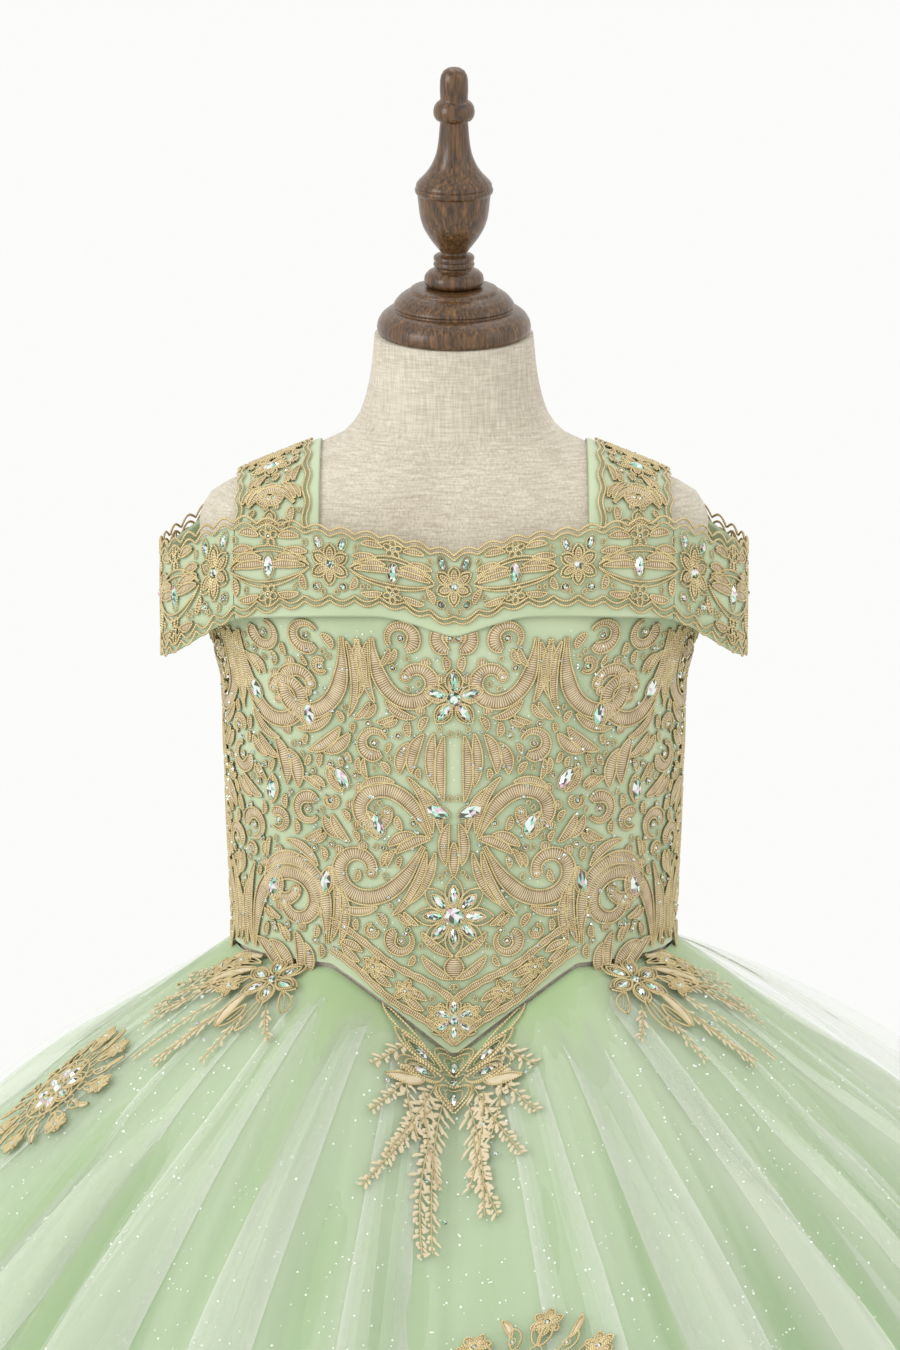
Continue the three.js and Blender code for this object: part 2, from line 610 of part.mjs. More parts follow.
// Where lace lies on the tulle it holds the folds flat. Each piece has its middle line's angle in
// degrees at its top and foot, where it starts and ends as a share of the way down, and its widest
// half width in degrees.
const LACE_PIECES = [
  { name: "lace_point_spray", top: -90, foot: -94, from: 0.008, to: 0.115, half: 15 },
  { name: "lace_waist_spray_left", top: -44, foot: -33, from: 0.008, to: 0.1, half: 16 },
  { name: "lace_waist_spray_right", top: -136, foot: -145, from: 0.008, to: 0.1, half: 16 },
  { name: "lace_medallion_front", top: -84, foot: -83, from: 0.165, to: 0.29, half: 9 },
  { name: "lace_medallion_side", top: -164, foot: -166, from: 0.07, to: 0.175, half: 9 },
];
const HELD_REACH = 1.4;
function looseness(angle, down) {
  return LACE_PIECES.reduce((share, piece) => {
    const middle = (piece.top + piece.foot) / 2;
    const turn = THREE.MathUtils.radToDeg(angle) - middle;
    const off = THREE.MathUtils.euclideanModulo(turn + 180, 360) - 180;
    const along = (2 * down - piece.from - piece.to) / (piece.to - piece.from) / HELD_REACH;
    const aside = off / piece.half / HELD_REACH;
    return share * (1 - Math.exp(-((along ** 2 + aside ** 2) ** 2)));
  }, 1);
}

// Cosine gathers that start at the seam, deepen on the way down, and are uneven in depth
const STAND_BY = 0.25;
const DEPTH_BY = 0.25;
function tulleStand(angle, down) {
  const stand = lerp(TULLE_STAND_AT_SEAM, TULLE_STAND, 1 - Math.exp(-down / STAND_BY));
  const uneven = 1 + 0.22 * Math.sin(5 * angle + 1) + 0.16 * Math.sin(3 * angle);
  const depth = TULLE_FOLD_DEPTH * (1 - Math.exp(-down / DEPTH_BY)) * uneven;
  return stand + depth * looseness(angle, down) * Math.cos(TULLE_FOLDS * angle);
}
const satinStand = (angle, down) =>
  UNDERSKIRT_WAVE_DEPTH * down ** 0.5 * Math.cos(UNDERSKIRT_WAVES * angle);

// Rows lie closer together near the waist, where the skirt turns fastest
const ROW_CROWDING = 1.9;

function skirtPanel(from, to, columns, rows, standAt, wall) {
  const face = (extra) => (u, v) => {
    const angle = radians(lerp(from, to, u));
    const down = v ** ROW_CROWDING;
    return skirtPoint(angle, down, standAt(angle, down) + extra);
  };
  return clothWall(columns, rows, face(wall), face(0));
}
const GORE_GAP = 0.08;
const UNDERSKIRT_HALVES = [
  { name: "underskirt_front", from: -180, to: 0 },
  { name: "underskirt_back", from: 0, to: 180 },
];
for (const { name, from, to } of UNDERSKIRT_HALVES) {
  const geometry = skirtPanel(from + GORE_GAP, to - GORE_GAP, 24, 5, satinStand, UNDERSKIRT_WALL);
  add(name, geometry, SATIN);
}
const GORES = [
  { name: "tulle_front", from: -135, to: -45 },
  { name: "tulle_left", from: -45, to: 45 },
  { name: "tulle_back", from: 45, to: 135 },
  { name: "tulle_right", from: 135, to: 225 },
];
for (const { name, from, to } of GORES) {
  add(name, skirtPanel(from + GORE_GAP, to - GORE_GAP, 36, 6, tulleStand, TULLE_WALL), TULLE);
}

// A leaf-shaped plate of lace on the tulle: its half width follows a stretch of a sine wave between
// a narrow head and a narrower foot
const LACE_SEAT = TULLE_WALL + 1.2;
const LEAF = { least: 0.25, head: 0.12, foot: 0.94 };
function lacePlate(piece) {
  const face = (extra) => (u, v) => {
    const down = lerp(piece.from, piece.to, v);
    const swell = Math.sin(Math.PI * lerp(LEAF.head, LEAF.foot, v));
    const reach = piece.half * lerp(LEAF.least, 1, swell);
    const angle = radians(lerp(piece.top, piece.foot, v) + reach * (2 * u - 1));
    return skirtPoint(angle, down, tulleStand(angle, down) + extra);
  };
  return clothWall(7, 7, face(LACE_SEAT + LACE_WALL), face(LACE_SEAT));
}
for (const piece of LACE_PIECES) add(piece.name, lacePlate(piece), LACE);

export default gown;
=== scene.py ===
# %% [markdown]
# # An embroidered ball gown on a dress form
#
# This script dresses the CAD frame of a child's ball gown: satin, glitter tulle, corded lace, stones
# and a linen form with a turned wooden cap. Every size is in millimetres until a mesh is made, the
# gown faces -Y, and angles run round +Z with -90 degrees at the centre front.

# %% Load the frame
import math

import bpy
import numpy as np
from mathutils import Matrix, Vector


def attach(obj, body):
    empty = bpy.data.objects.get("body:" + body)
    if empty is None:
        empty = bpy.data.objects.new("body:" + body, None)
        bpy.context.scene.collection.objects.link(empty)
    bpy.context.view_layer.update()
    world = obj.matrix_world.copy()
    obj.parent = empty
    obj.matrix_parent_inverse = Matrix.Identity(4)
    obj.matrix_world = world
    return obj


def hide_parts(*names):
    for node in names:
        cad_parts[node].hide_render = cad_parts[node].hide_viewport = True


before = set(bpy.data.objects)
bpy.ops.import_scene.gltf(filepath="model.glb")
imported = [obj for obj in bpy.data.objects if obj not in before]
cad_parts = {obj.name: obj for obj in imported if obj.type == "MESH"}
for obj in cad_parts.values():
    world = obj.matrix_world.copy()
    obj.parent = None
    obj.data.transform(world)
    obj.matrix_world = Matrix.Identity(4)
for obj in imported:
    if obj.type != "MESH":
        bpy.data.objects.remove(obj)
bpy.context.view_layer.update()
GOWN_BODY = "gown_on_form"
MM = 0.001
rng = np.random.default_rng(7)

# %% [markdown]
# ## Helpers for curves and surfaces
#
# A dress form and a gathered skirt are smooth, and a few measured heights say how they run. A Bezier or
# NURBS curve through those heights could bulge past them. The curve used here never overshoots its
# table: its slope at a row is the harmonic mean of the slopes on both sides, and 0 where they point
# opposite ways.

# %% Numbers and tables
def smoothstep(low, high, x):
    """3t^2 - 2t^3 with t running from 0 at low to 1 at high."""
    t = np.clip((x - low) / (high - low), 0, 1)
    return t * t * (3 - 2 * t)


def lerp(a, b, t):
    """a at t = 0 and b at t = 1."""
    return a + (b - a) * t


def table_value(by, values, at):
    """The smooth curve through (by, values) at the places at, by cubic Hermite steps."""
    by, values = np.asarray(by, float), np.asarray(values, float)
    rise = np.diff(values) / np.diff(by)
    slope = np.empty_like(values)
    slope[0], slope[-1] = rise[0], rise[-1]
    before, after = rise[:-1], rise[1:]
    same_way = before * after > 0
    total = np.where(same_way, before + after, 1)
    slope[1:-1] = np.where(same_way, 2 * before * after / total, 0)
    at = np.clip(at, by[0], by[-1])
    i = np.clip(np.searchsorted(by, at, side="right") - 1, 0, len(by) - 2)
    span = by[i + 1] - by[i]
    s = (at - by[i]) / span
    return (
        (2 * s**3 - 3 * s**2 + 1) * values[i]
        + (s**3 - 2 * s**2 + s) * slope[i] * span
        + (3 * s**2 - 2 * s**3) * values[i + 1]
        + (s**3 - s**2) * slope[i + 1] * span
    )


def signed_power(x, power):
    """|x|^power with the sign of x."""
    return np.sign(x) * np.abs(x) ** power


def unit(vectors):
    """Each vector divided by its length."""
    return vectors / np.maximum(np.linalg.norm(vectors, axis=-1, keepdims=True), 1e-9)


def toward(way):
    """The unit vector of a heading in degrees."""
    return np.array([math.cos(math.radians(way)), math.sin(math.radians(way))])


def run_of(line):
    """The length along a line at each of its points."""
    return np.concatenate([[0], np.cumsum(np.linalg.norm(np.diff(line, axis=0), axis=1))])


# %% [markdown]
# A gown has thousands of stitches, and one Blender object for each would be slow. Adding faces one by one
# with bmesh would be slow too. So points are computed as whole numpy grids and gathered in a `Stitching`,
# a pile that becomes one mesh. A grid joins its last column to the first where it is a tube. Each point
# also keeps a `shade`, which the materials read. It is lighter where tulle bunches or doubles, and it holds
# painted shade and painted light: darker at the edges of filled strokes, under the cords and in fold
# valleys, lighter on fold crests and on raised pulls.

# %% Gather grids into one mesh
class Stitching:
    """Grids of points, their faces and their flat coordinates, joined into one mesh."""

    def __init__(self):
        self.points, self.faces, self.flat, self.shades = [], [], [], []
        self.count = 0

    def add_faces(self, points, faces, flat=None, shade=1.0):
        points = np.asarray(points, float).reshape(-1, 3)
        flat = np.zeros((len(points), 2)) if flat is None else np.asarray(flat, float).reshape(-1, 2)
        self.points.append(points)
        self.faces.append(np.asarray(faces) + self.count)
        self.flat.append(flat)
        self.shades.append(np.broadcast_to(np.asarray(shade, float).ravel(), (len(points),)))
        self.count += len(points)

    def add_grid(self, grid, flat=None, tube=False, shade=1.0):
        rows, columns = grid.shape[:2]
        index = np.arange(rows * columns).reshape(rows, columns)
        if tube:
            index = np.concatenate([index, index[:, :1]], axis=1)
        corners = (index[:-1, :-1], index[:-1, 1:], index[1:, 1:], index[1:, :-1])
        faces = np.stack([c.ravel() for c in corners], axis=1)
        self.add_faces(grid, faces, flat, shade)

    def make(self, name, material, smooth=True, slot=None, body=GOWN_BODY):
        """One mesh object from the pile, in metres, riding on the given CAD body."""
        points = np.concatenate(self.points) * MM
        flat = np.concatenate(self.flat)
        shades = np.concatenate(self.shades)
        mesh = bpy.data.meshes.new(name)
        mesh.vertices.add(len(points))
        mesh.vertices.foreach_set("co", points.ravel())
        sizes = np.concatenate([np.full(len(f), f.shape[1]) for f in self.faces])
        corners = np.concatenate([f.ravel() for f in self.faces])
        mesh.loops.add(len(corners))
        mesh.loops.foreach_set("vertex_index", corners)
        mesh.polygons.add(len(sizes))
        mesh.polygons.foreach_set("loop_start", np.concatenate([[0], np.cumsum(sizes)[:-1]]))
        layer = mesh.uv_layers.new(name="flat")
        layer.data.foreach_set("uv", flat[corners].ravel())
        shade = mesh.color_attributes.new("shade", "FLOAT_COLOR", "POINT")
        colour = np.stack([shades, shades, shades, np.ones_like(shades)], axis=1)
        shade.data.foreach_set("color", colour.ravel())
        mesh.update(calc_edges=True)
        mesh.validate()
        mesh.shade_smooth() if smooth else mesh.shade_flat()
        mesh.materials.append(material)
        made = bpy.data.objects.new(name, mesh)
        bpy.context.scene.collection.objects.link(made)
        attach(made, body)
        return made


def grid_uv(rows, columns):
    """Rows and columns of v and u, both from 0 to 1."""
    return np.meshgrid(np.linspace(0, 1, rows), np.linspace(0, 1, columns), indexing="ij")


# %% [markdown]
# ## The dress form's sections
#
# The form is a padded child's torso without limbs. It could be sculpted, but its sizes would then be
# hard to keep equal to the solids'. So each row below is a section: how high it lies, its half width,
# its depth in front and behind, where its middle lies and how square it is. A section is the
# superellipse |x/half|^n + |y/depth|^n = 1, as in the CAD.

# %% Sections of the form
FORM = {
    "z": (505, 560, 620, 700, 760, 800, 832, 850, 870, 895, 915, 927, 937, 946, 953, 959, 970, 990, 1009),
    "half": (112, 114, 112.5, 110.3, 112, 113.3, 114, 118, 123.5, 128, 129, 124, 106, 84, 67, 55, 47, 42, 40),
    "front": (74, 79, 80, 77, 77, 77.5, 77, 76, 74, 70, 64, 58, 52, 47, 43.5, 41, 39.5, 38, 38),
    "back": (80, 86, 84, 80, 81, 82, 82, 81, 79, 75, 69, 62, 55, 50, 46, 43.5, 41.5, 39.5, 38),
    "middle": (0, 0, 0, 0, 0, 0, 0, 0, 0, 0, 2, 4, 5, 6, 6, 6, 5, 2, -1),
    "square": (2.3, 2.3, 2.3, 2.3, 2.3, 2.3, 2.3, 2.3, 2.3, 2.3, 2.3, 2.3, 2.2, 2.1, 2, 2, 2, 2, 2),
}
WAIST = 700
HEM = 8
NECK_TILT = math.radians(8)
NECK_TILT_FROM = 965


def form_value(key, z):
    """A section's value at any height."""
    return table_value(FORM["z"], FORM[key], z)


def body_point(angle, z, offset):
    """x = (half + offset) cos^(2/n), y = middle + (depth + offset) sin^(2/n), both with their signs."""
    angle, z = np.broadcast_arrays(np.asarray(angle, float), np.asarray(z, float))
    power = 2 / form_value("square", z)
    depth = np.where(np.sin(angle) < 0, form_value("front", z), form_value("back", z))
    x = (form_value("half", z) + offset) * signed_power(np.cos(angle), power)
    y = form_value("middle", z) + (depth + offset) * signed_power(np.sin(angle), power)
    return np.stack([x, y, z], axis=-1)


def leaned(points):
    """The neck leans forward: z grows by tan(tilt) times y, fading in up the neck."""
    share = smoothstep(NECK_TILT_FROM, FORM["z"][-1], points[..., 2])
    lean = math.tan(NECK_TILT) * share * (points[..., 1] - form_value("middle", points[..., 2]))
    return points + np.stack([0 * lean, 0 * lean, lean], axis=-1)


# %% [markdown]
# ## Materials
#
# All the finishes are procedural: given colours, and waves and noise for weave, thread and
# grain. Image textures would need files that the part can't carry. One Principled shader feeds each
# material, and a small class keeps the calls short.

# %% Material helpers
def srgb(red, green, blue):
    """A colour given as 0 to 255 on a screen, as linear light."""
    share = np.array([red, green, blue]) / 255
    linear = np.where(share <= 0.04045, share / 12.92, ((share + 0.055) / 1.055) ** 2.4)
    return (*linear, 1.0)


class Surface:
    """A material with one Principled shader, and short calls for what feeds it."""

    def __init__(self, name, colour, roughness, **inputs):
        self.material = bpy.data.materials.new(name)
        self.material.use_nodes = True
        self.nodes = self.material.node_tree.nodes
        self.links = self.material.node_tree.links
        self.shader = self.nodes["Principled BSDF"]
        self.set("Base Color", colour)
        self.set("Roughness", roughness)
        for socket, value in inputs.items():
            self.set(socket.replace("_", " "), value)

    def set(self, socket, value):
        self.shader.inputs[socket].default_value = value

    def add(self, kind, **inputs):
        node = self.nodes.new(kind)
        for socket, value in inputs.items():
            name = socket.replace("_", " ")
            if isinstance(value, bpy.types.NodeSocket):
                self.links.new(value, node.inputs[name])
            else:
                node.inputs[name].default_value = value
        return node

    def place(self, kind, scale):
        """Texture coordinates of one kind, scaled."""
        source = self.nodes.new("ShaderNodeTexCoord").outputs[kind]
        mapping = self.add("ShaderNodeMapping", Vector=source)
        mapping.inputs["Scale"].default_value = scale
        return mapping.outputs["Vector"]

    def waves(self, place, direction, distortion=0.0):
        """Bands across one direction, from 0 to 1."""
        node = self.add("ShaderNodeTexWave", Vector=place, Scale=1.0, Distortion=distortion)
        node.wave_type = "BANDS"
        node.bands_direction = direction
        node.inputs["Detail Scale"].default_value = 1.5
        return node.outputs["Fac"]

    def noise(self, place, scale, detail=2.0):
        node = self.add("ShaderNodeTexNoise", Vector=place, Scale=scale, Detail=detail)
        return node.outputs["Fac"]

    def stretched(self, value, low, high):
        """The value's run from low to high, spread over 0 to 1."""
        node = self.nodes.new("ShaderNodeMapRange")
        self.links.new(value, node.inputs["Value"])
        node.inputs["From Min"].default_value = low
        node.inputs["From Max"].default_value = high
        return node.outputs["Result"]

    def mix(self, share, low, high):
        """The colour low where share is 0 and high where it is 1."""
        node = self.nodes.new("ShaderNodeMix")
        node.data_type = "RGBA"
        for socket, value in ((node.inputs[0], share), (node.inputs[6], low), (node.inputs[7], high)):
            if isinstance(value, bpy.types.NodeSocket):
                self.links.new(value, socket)
            else:
                socket.default_value = value
        return node.outputs[2]

    def tint(self, share, low, high):
        self.links.new(self.mix(share, low, high), self.shader.inputs["Base Color"])

    def bump(self, height, strength, distance):
        node = self.add("ShaderNodeBump", Height=height, Strength=strength, Distance=distance)
        self.links.new(node.outputs["Normal"], self.shader.inputs["Normal"])

    def blend_of(self, a, b, operation="ADD"):
        node = self.nodes.new("ShaderNodeMath")
        node.operation = operation
        for socket, value in zip(node.inputs, (a, b)):
            if isinstance(value, bpy.types.NodeSocket):
                self.links.new(value, socket)
            else:
                socket.default_value = value
        return node.outputs[0]

    def shade(self):
        """The shade stored on the mesh's points, from 0 to 1, partly painted shade and painted light."""
        node = self.nodes.new("ShaderNodeAttribute")
        node.attribute_name = "shade"
        return node.outputs["Fac"]


# %% [markdown]
# Linen has warp and weft threads about 0.35 mm apart, with longer slubs both ways. Satin is smooth with
# a soft sheen, with painted light and shade on its folds and pulls. Tulle is a net far finer than a pixel,
# so holes in it would only flicker: it is a thin skin with some see-through, lighter where the mesh's own
# `shade` says that it bunches, with painted light on the crests of its folds and painted shade in their
# valleys. Thread has stitches across its stroke, from waves along the stroke's own flat coordinates, and
# painted shade at the edges of filled strokes and under the cords.

# %% Cloth, wood and metal
def linen():
    s = Surface("linen", srgb(222, 211, 194), 0.92, Sheen_Weight=0.25)
    place = s.place("Object", (1, 1, 1))
    across = s.waves(s.place("Object", (900, 900, 60)), "X", 1.5)
    up = s.waves(s.place("Object", (60, 60, 900)), "Z", 1.5)
    threads = s.blend_of(across, up)
    lying = s.stretched(s.noise(s.place("Object", (110, 110, 1300)), 1.0, 3.0), 0.3, 0.7)
    upright = s.stretched(s.noise(s.place("Object", (1000, 1000, 70)), 1.0, 3.0), 0.3, 0.7)
    patches = s.stretched(s.noise(place, 16.0), 0.2, 0.8)
    weave = s.stretched(s.blend_of(s.blend_of(lying, upright), patches), 0.2, 2.8)
    s.tint(weave, srgb(162, 150, 128), srgb(232, 224, 206))
    s.bump(threads, 0.25, 0.0003)
    return s.material


def satin(name, colour, deep):
    s = Surface(name, colour, 0.5, Sheen_Weight=0.35, Sheen_Roughness=0.4)
    # The mesh's shade picks between deep and colour: painted light and shade on the skirt's folds and the
    # bodice's pulls, its own tone on the other pieces.
    s.tint(s.shade(), deep, colour)
    s.bump(s.noise(s.place("Object", (700, 700, 700)), 1.0), 0.12, 0.0003)
    return s.material


def tulle(name, alpha, light, deep):
    s = Surface(name, light, 0.75, Alpha=alpha, Sheen_Weight=0.3, Sheen_Roughness=0.5)
    s.set("Specular IOR Level", 0.15)
    # The mesh's shade picks the colour: lighter where the tulle bunches, stands steep or doubles, plus
    # painted light on fold crests and painted shade in fold valleys.
    s.tint(s.shade(), deep, light)
    return s.material


WAVE_PERIOD = 0.314  # Blender's wave texture repeats each 0.314 units


def thread(name, colour, deep, metallic, roughness, pitch):
    """Embroidery thread: its stitches run across the stroke, one each pitch millimetres."""
    s = Surface(name, colour, roughness, Metallic=metallic)
    rib = s.waves(s.place("UV", (WAVE_PERIOD / pitch, 0.02, 1)), "X", 0.8)
    mottle = s.noise(s.place("Object", (160, 160, 160)), 1.0, 3.0)
    # The stitches and mottle are multiplied by the mesh's shade: painted shade at the edges of filled strokes
    # and under the cords.
    s.tint(s.blend_of(s.shade(), s.stretched(s.blend_of(rib, mottle), 0.35, 1.45), "MULTIPLY"), deep, colour)
    s.bump(rib, 0.6, 0.0004)
    return s.material


def wood():
    s = Surface("walnut", srgb(84, 56, 36), 0.34, Coat_Weight=0.3, Coat_Roughness=0.2)
    streaks = s.stretched(s.noise(s.place("Object", (420, 420, 34)), 1.0, 5.0), 0.2, 0.75)
    pores = s.stretched(s.noise(s.place("Object", (900, 900, 60)), 1.0, 3.0), 0.3, 0.75)
    s.tint(s.blend_of(streaks, pores, "MULTIPLY"), srgb(46, 30, 16), srgb(150, 106, 58))
    s.bump(pores, 0.15, 0.0005)
    return s.material


def stone_facet(name, colour, metallic, roughness):
    return Surface(name, colour, roughness, Metallic=metallic, Coat_Weight=1.0, Coat_Roughness=0.03).material


LINEN = linen()
SATIN = satin("mint_satin", srgb(194, 208, 172), srgb(150, 172, 130))
SKIRT_SATIN = satin("skirt_satin", srgb(184, 206, 152), srgb(140, 172, 112))
TULLE_INNER = tulle("tulle_inner", 0.42, srgb(210, 228, 188), srgb(166, 198, 146))
TULLE_OUTER = tulle("tulle_outer", 0.4, srgb(238, 247, 226), srgb(180, 214, 160))
OVERLAPS = tulle("tulle_overlaps", 0.23, srgb(244, 251, 234), srgb(206, 232, 190))
VEIL = tulle("veil", 0.12, srgb(248, 252, 243), srgb(234, 243, 226))
FILL = thread("beige_fill", srgb(232, 212, 176), srgb(120, 99, 69), 0.05, 0.5, 1.1)
CORD = thread("gold_cord", srgb(255, 240, 190), srgb(164, 137, 84), 0.25, 0.36, 0.9)
SPRIG = thread("sprig_thread", srgb(250, 238, 206), srgb(204, 184, 148), 0.05, 0.55, 0.8)
WOOD = wood()
STEEL = Surface("steel", srgb(196, 198, 202), 0.2, Metallic=1.0).material
# Glitter is nearly white and only a little metallic, so a flake shows bright from most sides: a painted glint
# beside the real flash of its tilt.
GLITTER = Surface("glitter", (0.97, 1.0, 0.97, 1), 0.25, Metallic=0.2).material
# The clear facets mirror the room; the others are painted: a dark reflection, and aqua and rose flashes.
STONE_FACETS = [
    stone_facet("stone_clear", srgb(236, 244, 238), 0.7, 0.05),
    stone_facet("stone_painted_dark_reflection", srgb(84, 92, 80), 0.6, 0.05),
    stone_facet("stone_painted_aqua_flash", srgb(150, 214, 190), 0.6, 0.08),
    stone_facet("stone_painted_rose_flash", srgb(222, 186, 206), 0.6, 0.08),
]

# %% [markdown]
# ## The dress form and its stand
#
# The real stand has a linen torso, and a cap and finial turned from dark wood on a lathe. A torso could
# come from a subdivided box, but rows of the section formula keep the CAD's sizes. Turned wood is a
# profile swept round an axis, as on the lathe, with small curves at its steps and smooth hollows.

# %% Turned and sectioned pieces
def form_surface(rows=100, columns=150):
    """The torso: rings of the section formula from the foot to the neck plate, closed at the foot."""
    pile = Stitching()
    z = np.linspace(FORM["z"][0], FORM["z"][-1], rows)[:, None]
    angle = np.linspace(0, 2 * np.pi, columns, endpoint=False)[None, :]
    rings = leaned(body_point(angle, z, 0))
    foot = np.repeat(rings[:1].mean(axis=1, keepdims=True), columns, axis=1)
    head = np.repeat(rings[-1:].mean(axis=1, keepdims=True), columns, axis=1)
    pile.add_grid(np.concatenate([foot, rings, head]), tube=True)
    return pile.make("linen_form", LINEN, slot="linen")


def turned(profile, segments=72):
    """Points of a turned piece: the profile's radius and height swept round the axis."""
    angle = np.linspace(0, 2 * np.pi, segments, endpoint=False)
    radius, height = np.asarray(profile, float).T
    x = radius[:, None] * np.cos(angle)
    y = radius[:, None] * np.sin(angle)
    return np.stack([x, y, np.broadcast_to(height[:, None], x.shape)], axis=-1)


def rounded_profile(corners, radius=0.8, steps=4):
    """Every inner corner of a profile replaced by a small quadratic curve."""
    corners = np.asarray(corners, float)
    outline = [corners[:1]]
    for before, corner, after in zip(corners, corners[1:], corners[2:]):
        reach_in = min(radius, np.linalg.norm(before - corner) / 2.2)
        reach_out = min(radius, np.linalg.norm(after - corner) / 2.2)
        start = corner + unit(before - corner) * reach_in
        end = corner + unit(after - corner) * reach_out
        t = np.linspace(0, 1, steps)[:, None]
        outline.append((1 - t) ** 2 * start + 2 * t * (1 - t) * corner + t**2 * end)
    outline.append(corners[-1:])
    return np.concatenate(outline)


def curve_through(points, steps):
    """A smooth outline through a few turned radii and heights."""
    points = np.asarray(points, float)
    height = np.linspace(points[0, 1], points[-1, 1], steps)
    return np.stack([table_value(points[:, 1], points[:, 0], height), height], axis=1)


NECK_TOP = np.array([0, FORM["middle"][-1], FORM["z"][-1]])
CAP = rounded_profile([
    (0, 0.3), (37.4, 0.3), (38.5, 1.6), (38.9, 3.9), (38.3, 6.9), (36.4, 10), (33.4, 12.3), (31.2, 13.1),
    (30.2, 13.3), (30.0, 14.3), (30.6, 14.9), (29.9, 16.3), (27.6, 19.2), (24.4, 21.4), (22.6, 22),
    (22.4, 22.7), (21.6, 23.7), (18.0, 24.5), (0, 24.7),
], 0.8)
FINIAL = np.concatenate([
    [(0, 25)],
    rounded_profile([(13.6, 25), (14.8, 26.1), (15.1, 28.2), (14.6, 30.4), (12.6, 32.5), (9.7, 33.7)]),
    rounded_profile([
        (9.3, 34.3), (10.3, 35.1), (10.4, 36.5), (9.7, 37.4), (10.3, 38.4), (10.3, 39.8), (9.4, 40.8),
        (6.9, 41.4),
    ]),
    curve_through([(6.5, 42.1), (9.0, 45.1), (12.6, 50), (15.6, 55.5), (17.2, 61.2), (18.1, 69.1)], 22),
    rounded_profile([
        (18.3, 70.6), (18.2, 71.5), (19.1, 72.1), (19.7, 73.5), (19.5, 74.9), (18.6, 75.4), (19.2, 76),
        (18.7, 77.4),
    ]),
    curve_through([(17.2, 79.2), (14.2, 82.3), (11.0, 87.2), (8.8, 93.1), (7.8, 99), (7.1, 107.3)], 20),
    rounded_profile([
        (7.0, 108.6), (9.0, 109.4), (10.2, 111.5), (10.4, 114.1), (9.8, 116.6), (8.4, 118.4), (7.1, 119.2),
    ]),
    curve_through([(6.9, 120), (7.1, 124.5), (7.0, 129.4)], 8),
    [(6.5, 131.9), (5.2, 134.1), (3.0, 135.5), (0, 136)],
])


def on_neck(points):
    """Points above the neck plate, leaned forward with it."""
    turn = np.array([
        [1, 0, 0],
        [0, math.cos(NECK_TILT), -math.sin(NECK_TILT)],
        [0, math.sin(NECK_TILT), math.cos(NECK_TILT)],
    ])
    return points @ turn.T + NECK_TOP


def stand():
    """The cap, finial, base and pole."""
    parts = {
        "wooden_cap": (on_neck(turned(CAP)), WOOD, "dark_wood"),
        "wooden_finial": (on_neck(turned(FINIAL)), WOOD, "dark_wood"),
        "wooden_base": (turned(rounded_profile(BASE, 2.0), 128), WOOD, "dark_wood"),
        "steel_pole": (turned(POLE, 48), STEEL, "pole_steel"),
    }
    made = {}
    for name, (grid, material, slot) in parts.items():
        pile = Stitching()
        pile.add_grid(grid, tube=True)
        made[name] = pile.make(name, material, slot=slot)
    return made


BASE = [(0, 0), (148, 0), (150, 3), (149, 9), (142, 14), (40, 17), (28, 22), (0, 22)]
POLE = [(0, 22.3), (12, 22.3), (12, 504.7), (0, 504.7)]
form = form_surface()
stand_parts = stand()
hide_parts("dress_form")
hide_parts("neck_cap")
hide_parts("finial")
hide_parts("stand_base")
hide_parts("stand_pole")
print("stand:", ", ".join(stand_parts))

# %% [markdown]
# ## The bodice
#
# The bodice is stiff satin, cut close, with a basque point in front and an armhole at each side. A
# cloth simulation would sag it, and this cloth can't sag. So each panel is a thin sheet on the form's
# own sections, a little off them, between a formula for its upper edge and one for its lower edge.

# %% Bodice cloth
FIT_GAP = 1.2
BODICE_WALL = 2.0
BODICE_OUT = FIT_GAP + BODICE_WALL
TOP_FRONT, TOP_BACK, ARMHOLE_DROP = 900, 896, 68
POINT_DROP, POINT_HALF_WIDTH = 45, 60.4
ZIP_TAPE_HALF, ZIP_EDGE_GAP = 3, 0.4
SIDE_SEAM = math.radians(0.15)


def bodice_top(angle):
    """The upper edge's height: level, less the armhole's drop near the sides."""
    level = np.where(np.sin(angle) < 0, TOP_FRONT, TOP_BACK)
    return level - ARMHOLE_DROP * smoothstep(0.83, 0.985, np.abs(np.cos(angle)))


def bodice_bottom(angle):
    """The lower edge's height: the waist, less a V as deep as POINT_DROP in front."""
    across = np.abs(body_point(angle, WAIST, 0)[..., 0])
    point = np.maximum(0, 1 - across / POINT_HALF_WIDTH) ** 1.1
    return WAIST - POINT_DROP * np.where(np.sin(angle) < 0, point, 0)


def back_angle(across, z):
    """The angle at which a section of the back is a given distance from the middle."""
    return np.arccos((across / form_value("half", z)) ** (form_value("square", z) / 2))


def bodice_panel(name, angle_at, node, columns, rows=60):
    """A thin panel between the two edges, with the columns at angle_at(u, z)."""
    v, u = grid_uv(rows, columns)
    rough = angle_at(u, lerp(WAIST, TOP_BACK, v))
    z = lerp(bodice_bottom(rough), bodice_top(rough), v)
    angle = angle_at(u, z)
    pull = 0.25 * np.sin(angle * 9 + z / 31) * np.sin(z / 17 + angle * 3)
    pile = Stitching()
    # Painted light and shade: the satin is lighter where its small pulls stand out and darker where they
    # sink.
    pile.add_grid(body_point(angle, z, BODICE_OUT - 0.2 + pull * 0.4), shade=0.85 + pull)
    made = pile.make(name, SATIN, slot="satin")
    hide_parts(node)
    return made


def zip_edge(z):
    return back_angle(ZIP_TAPE_HALF + ZIP_EDGE_GAP, z)


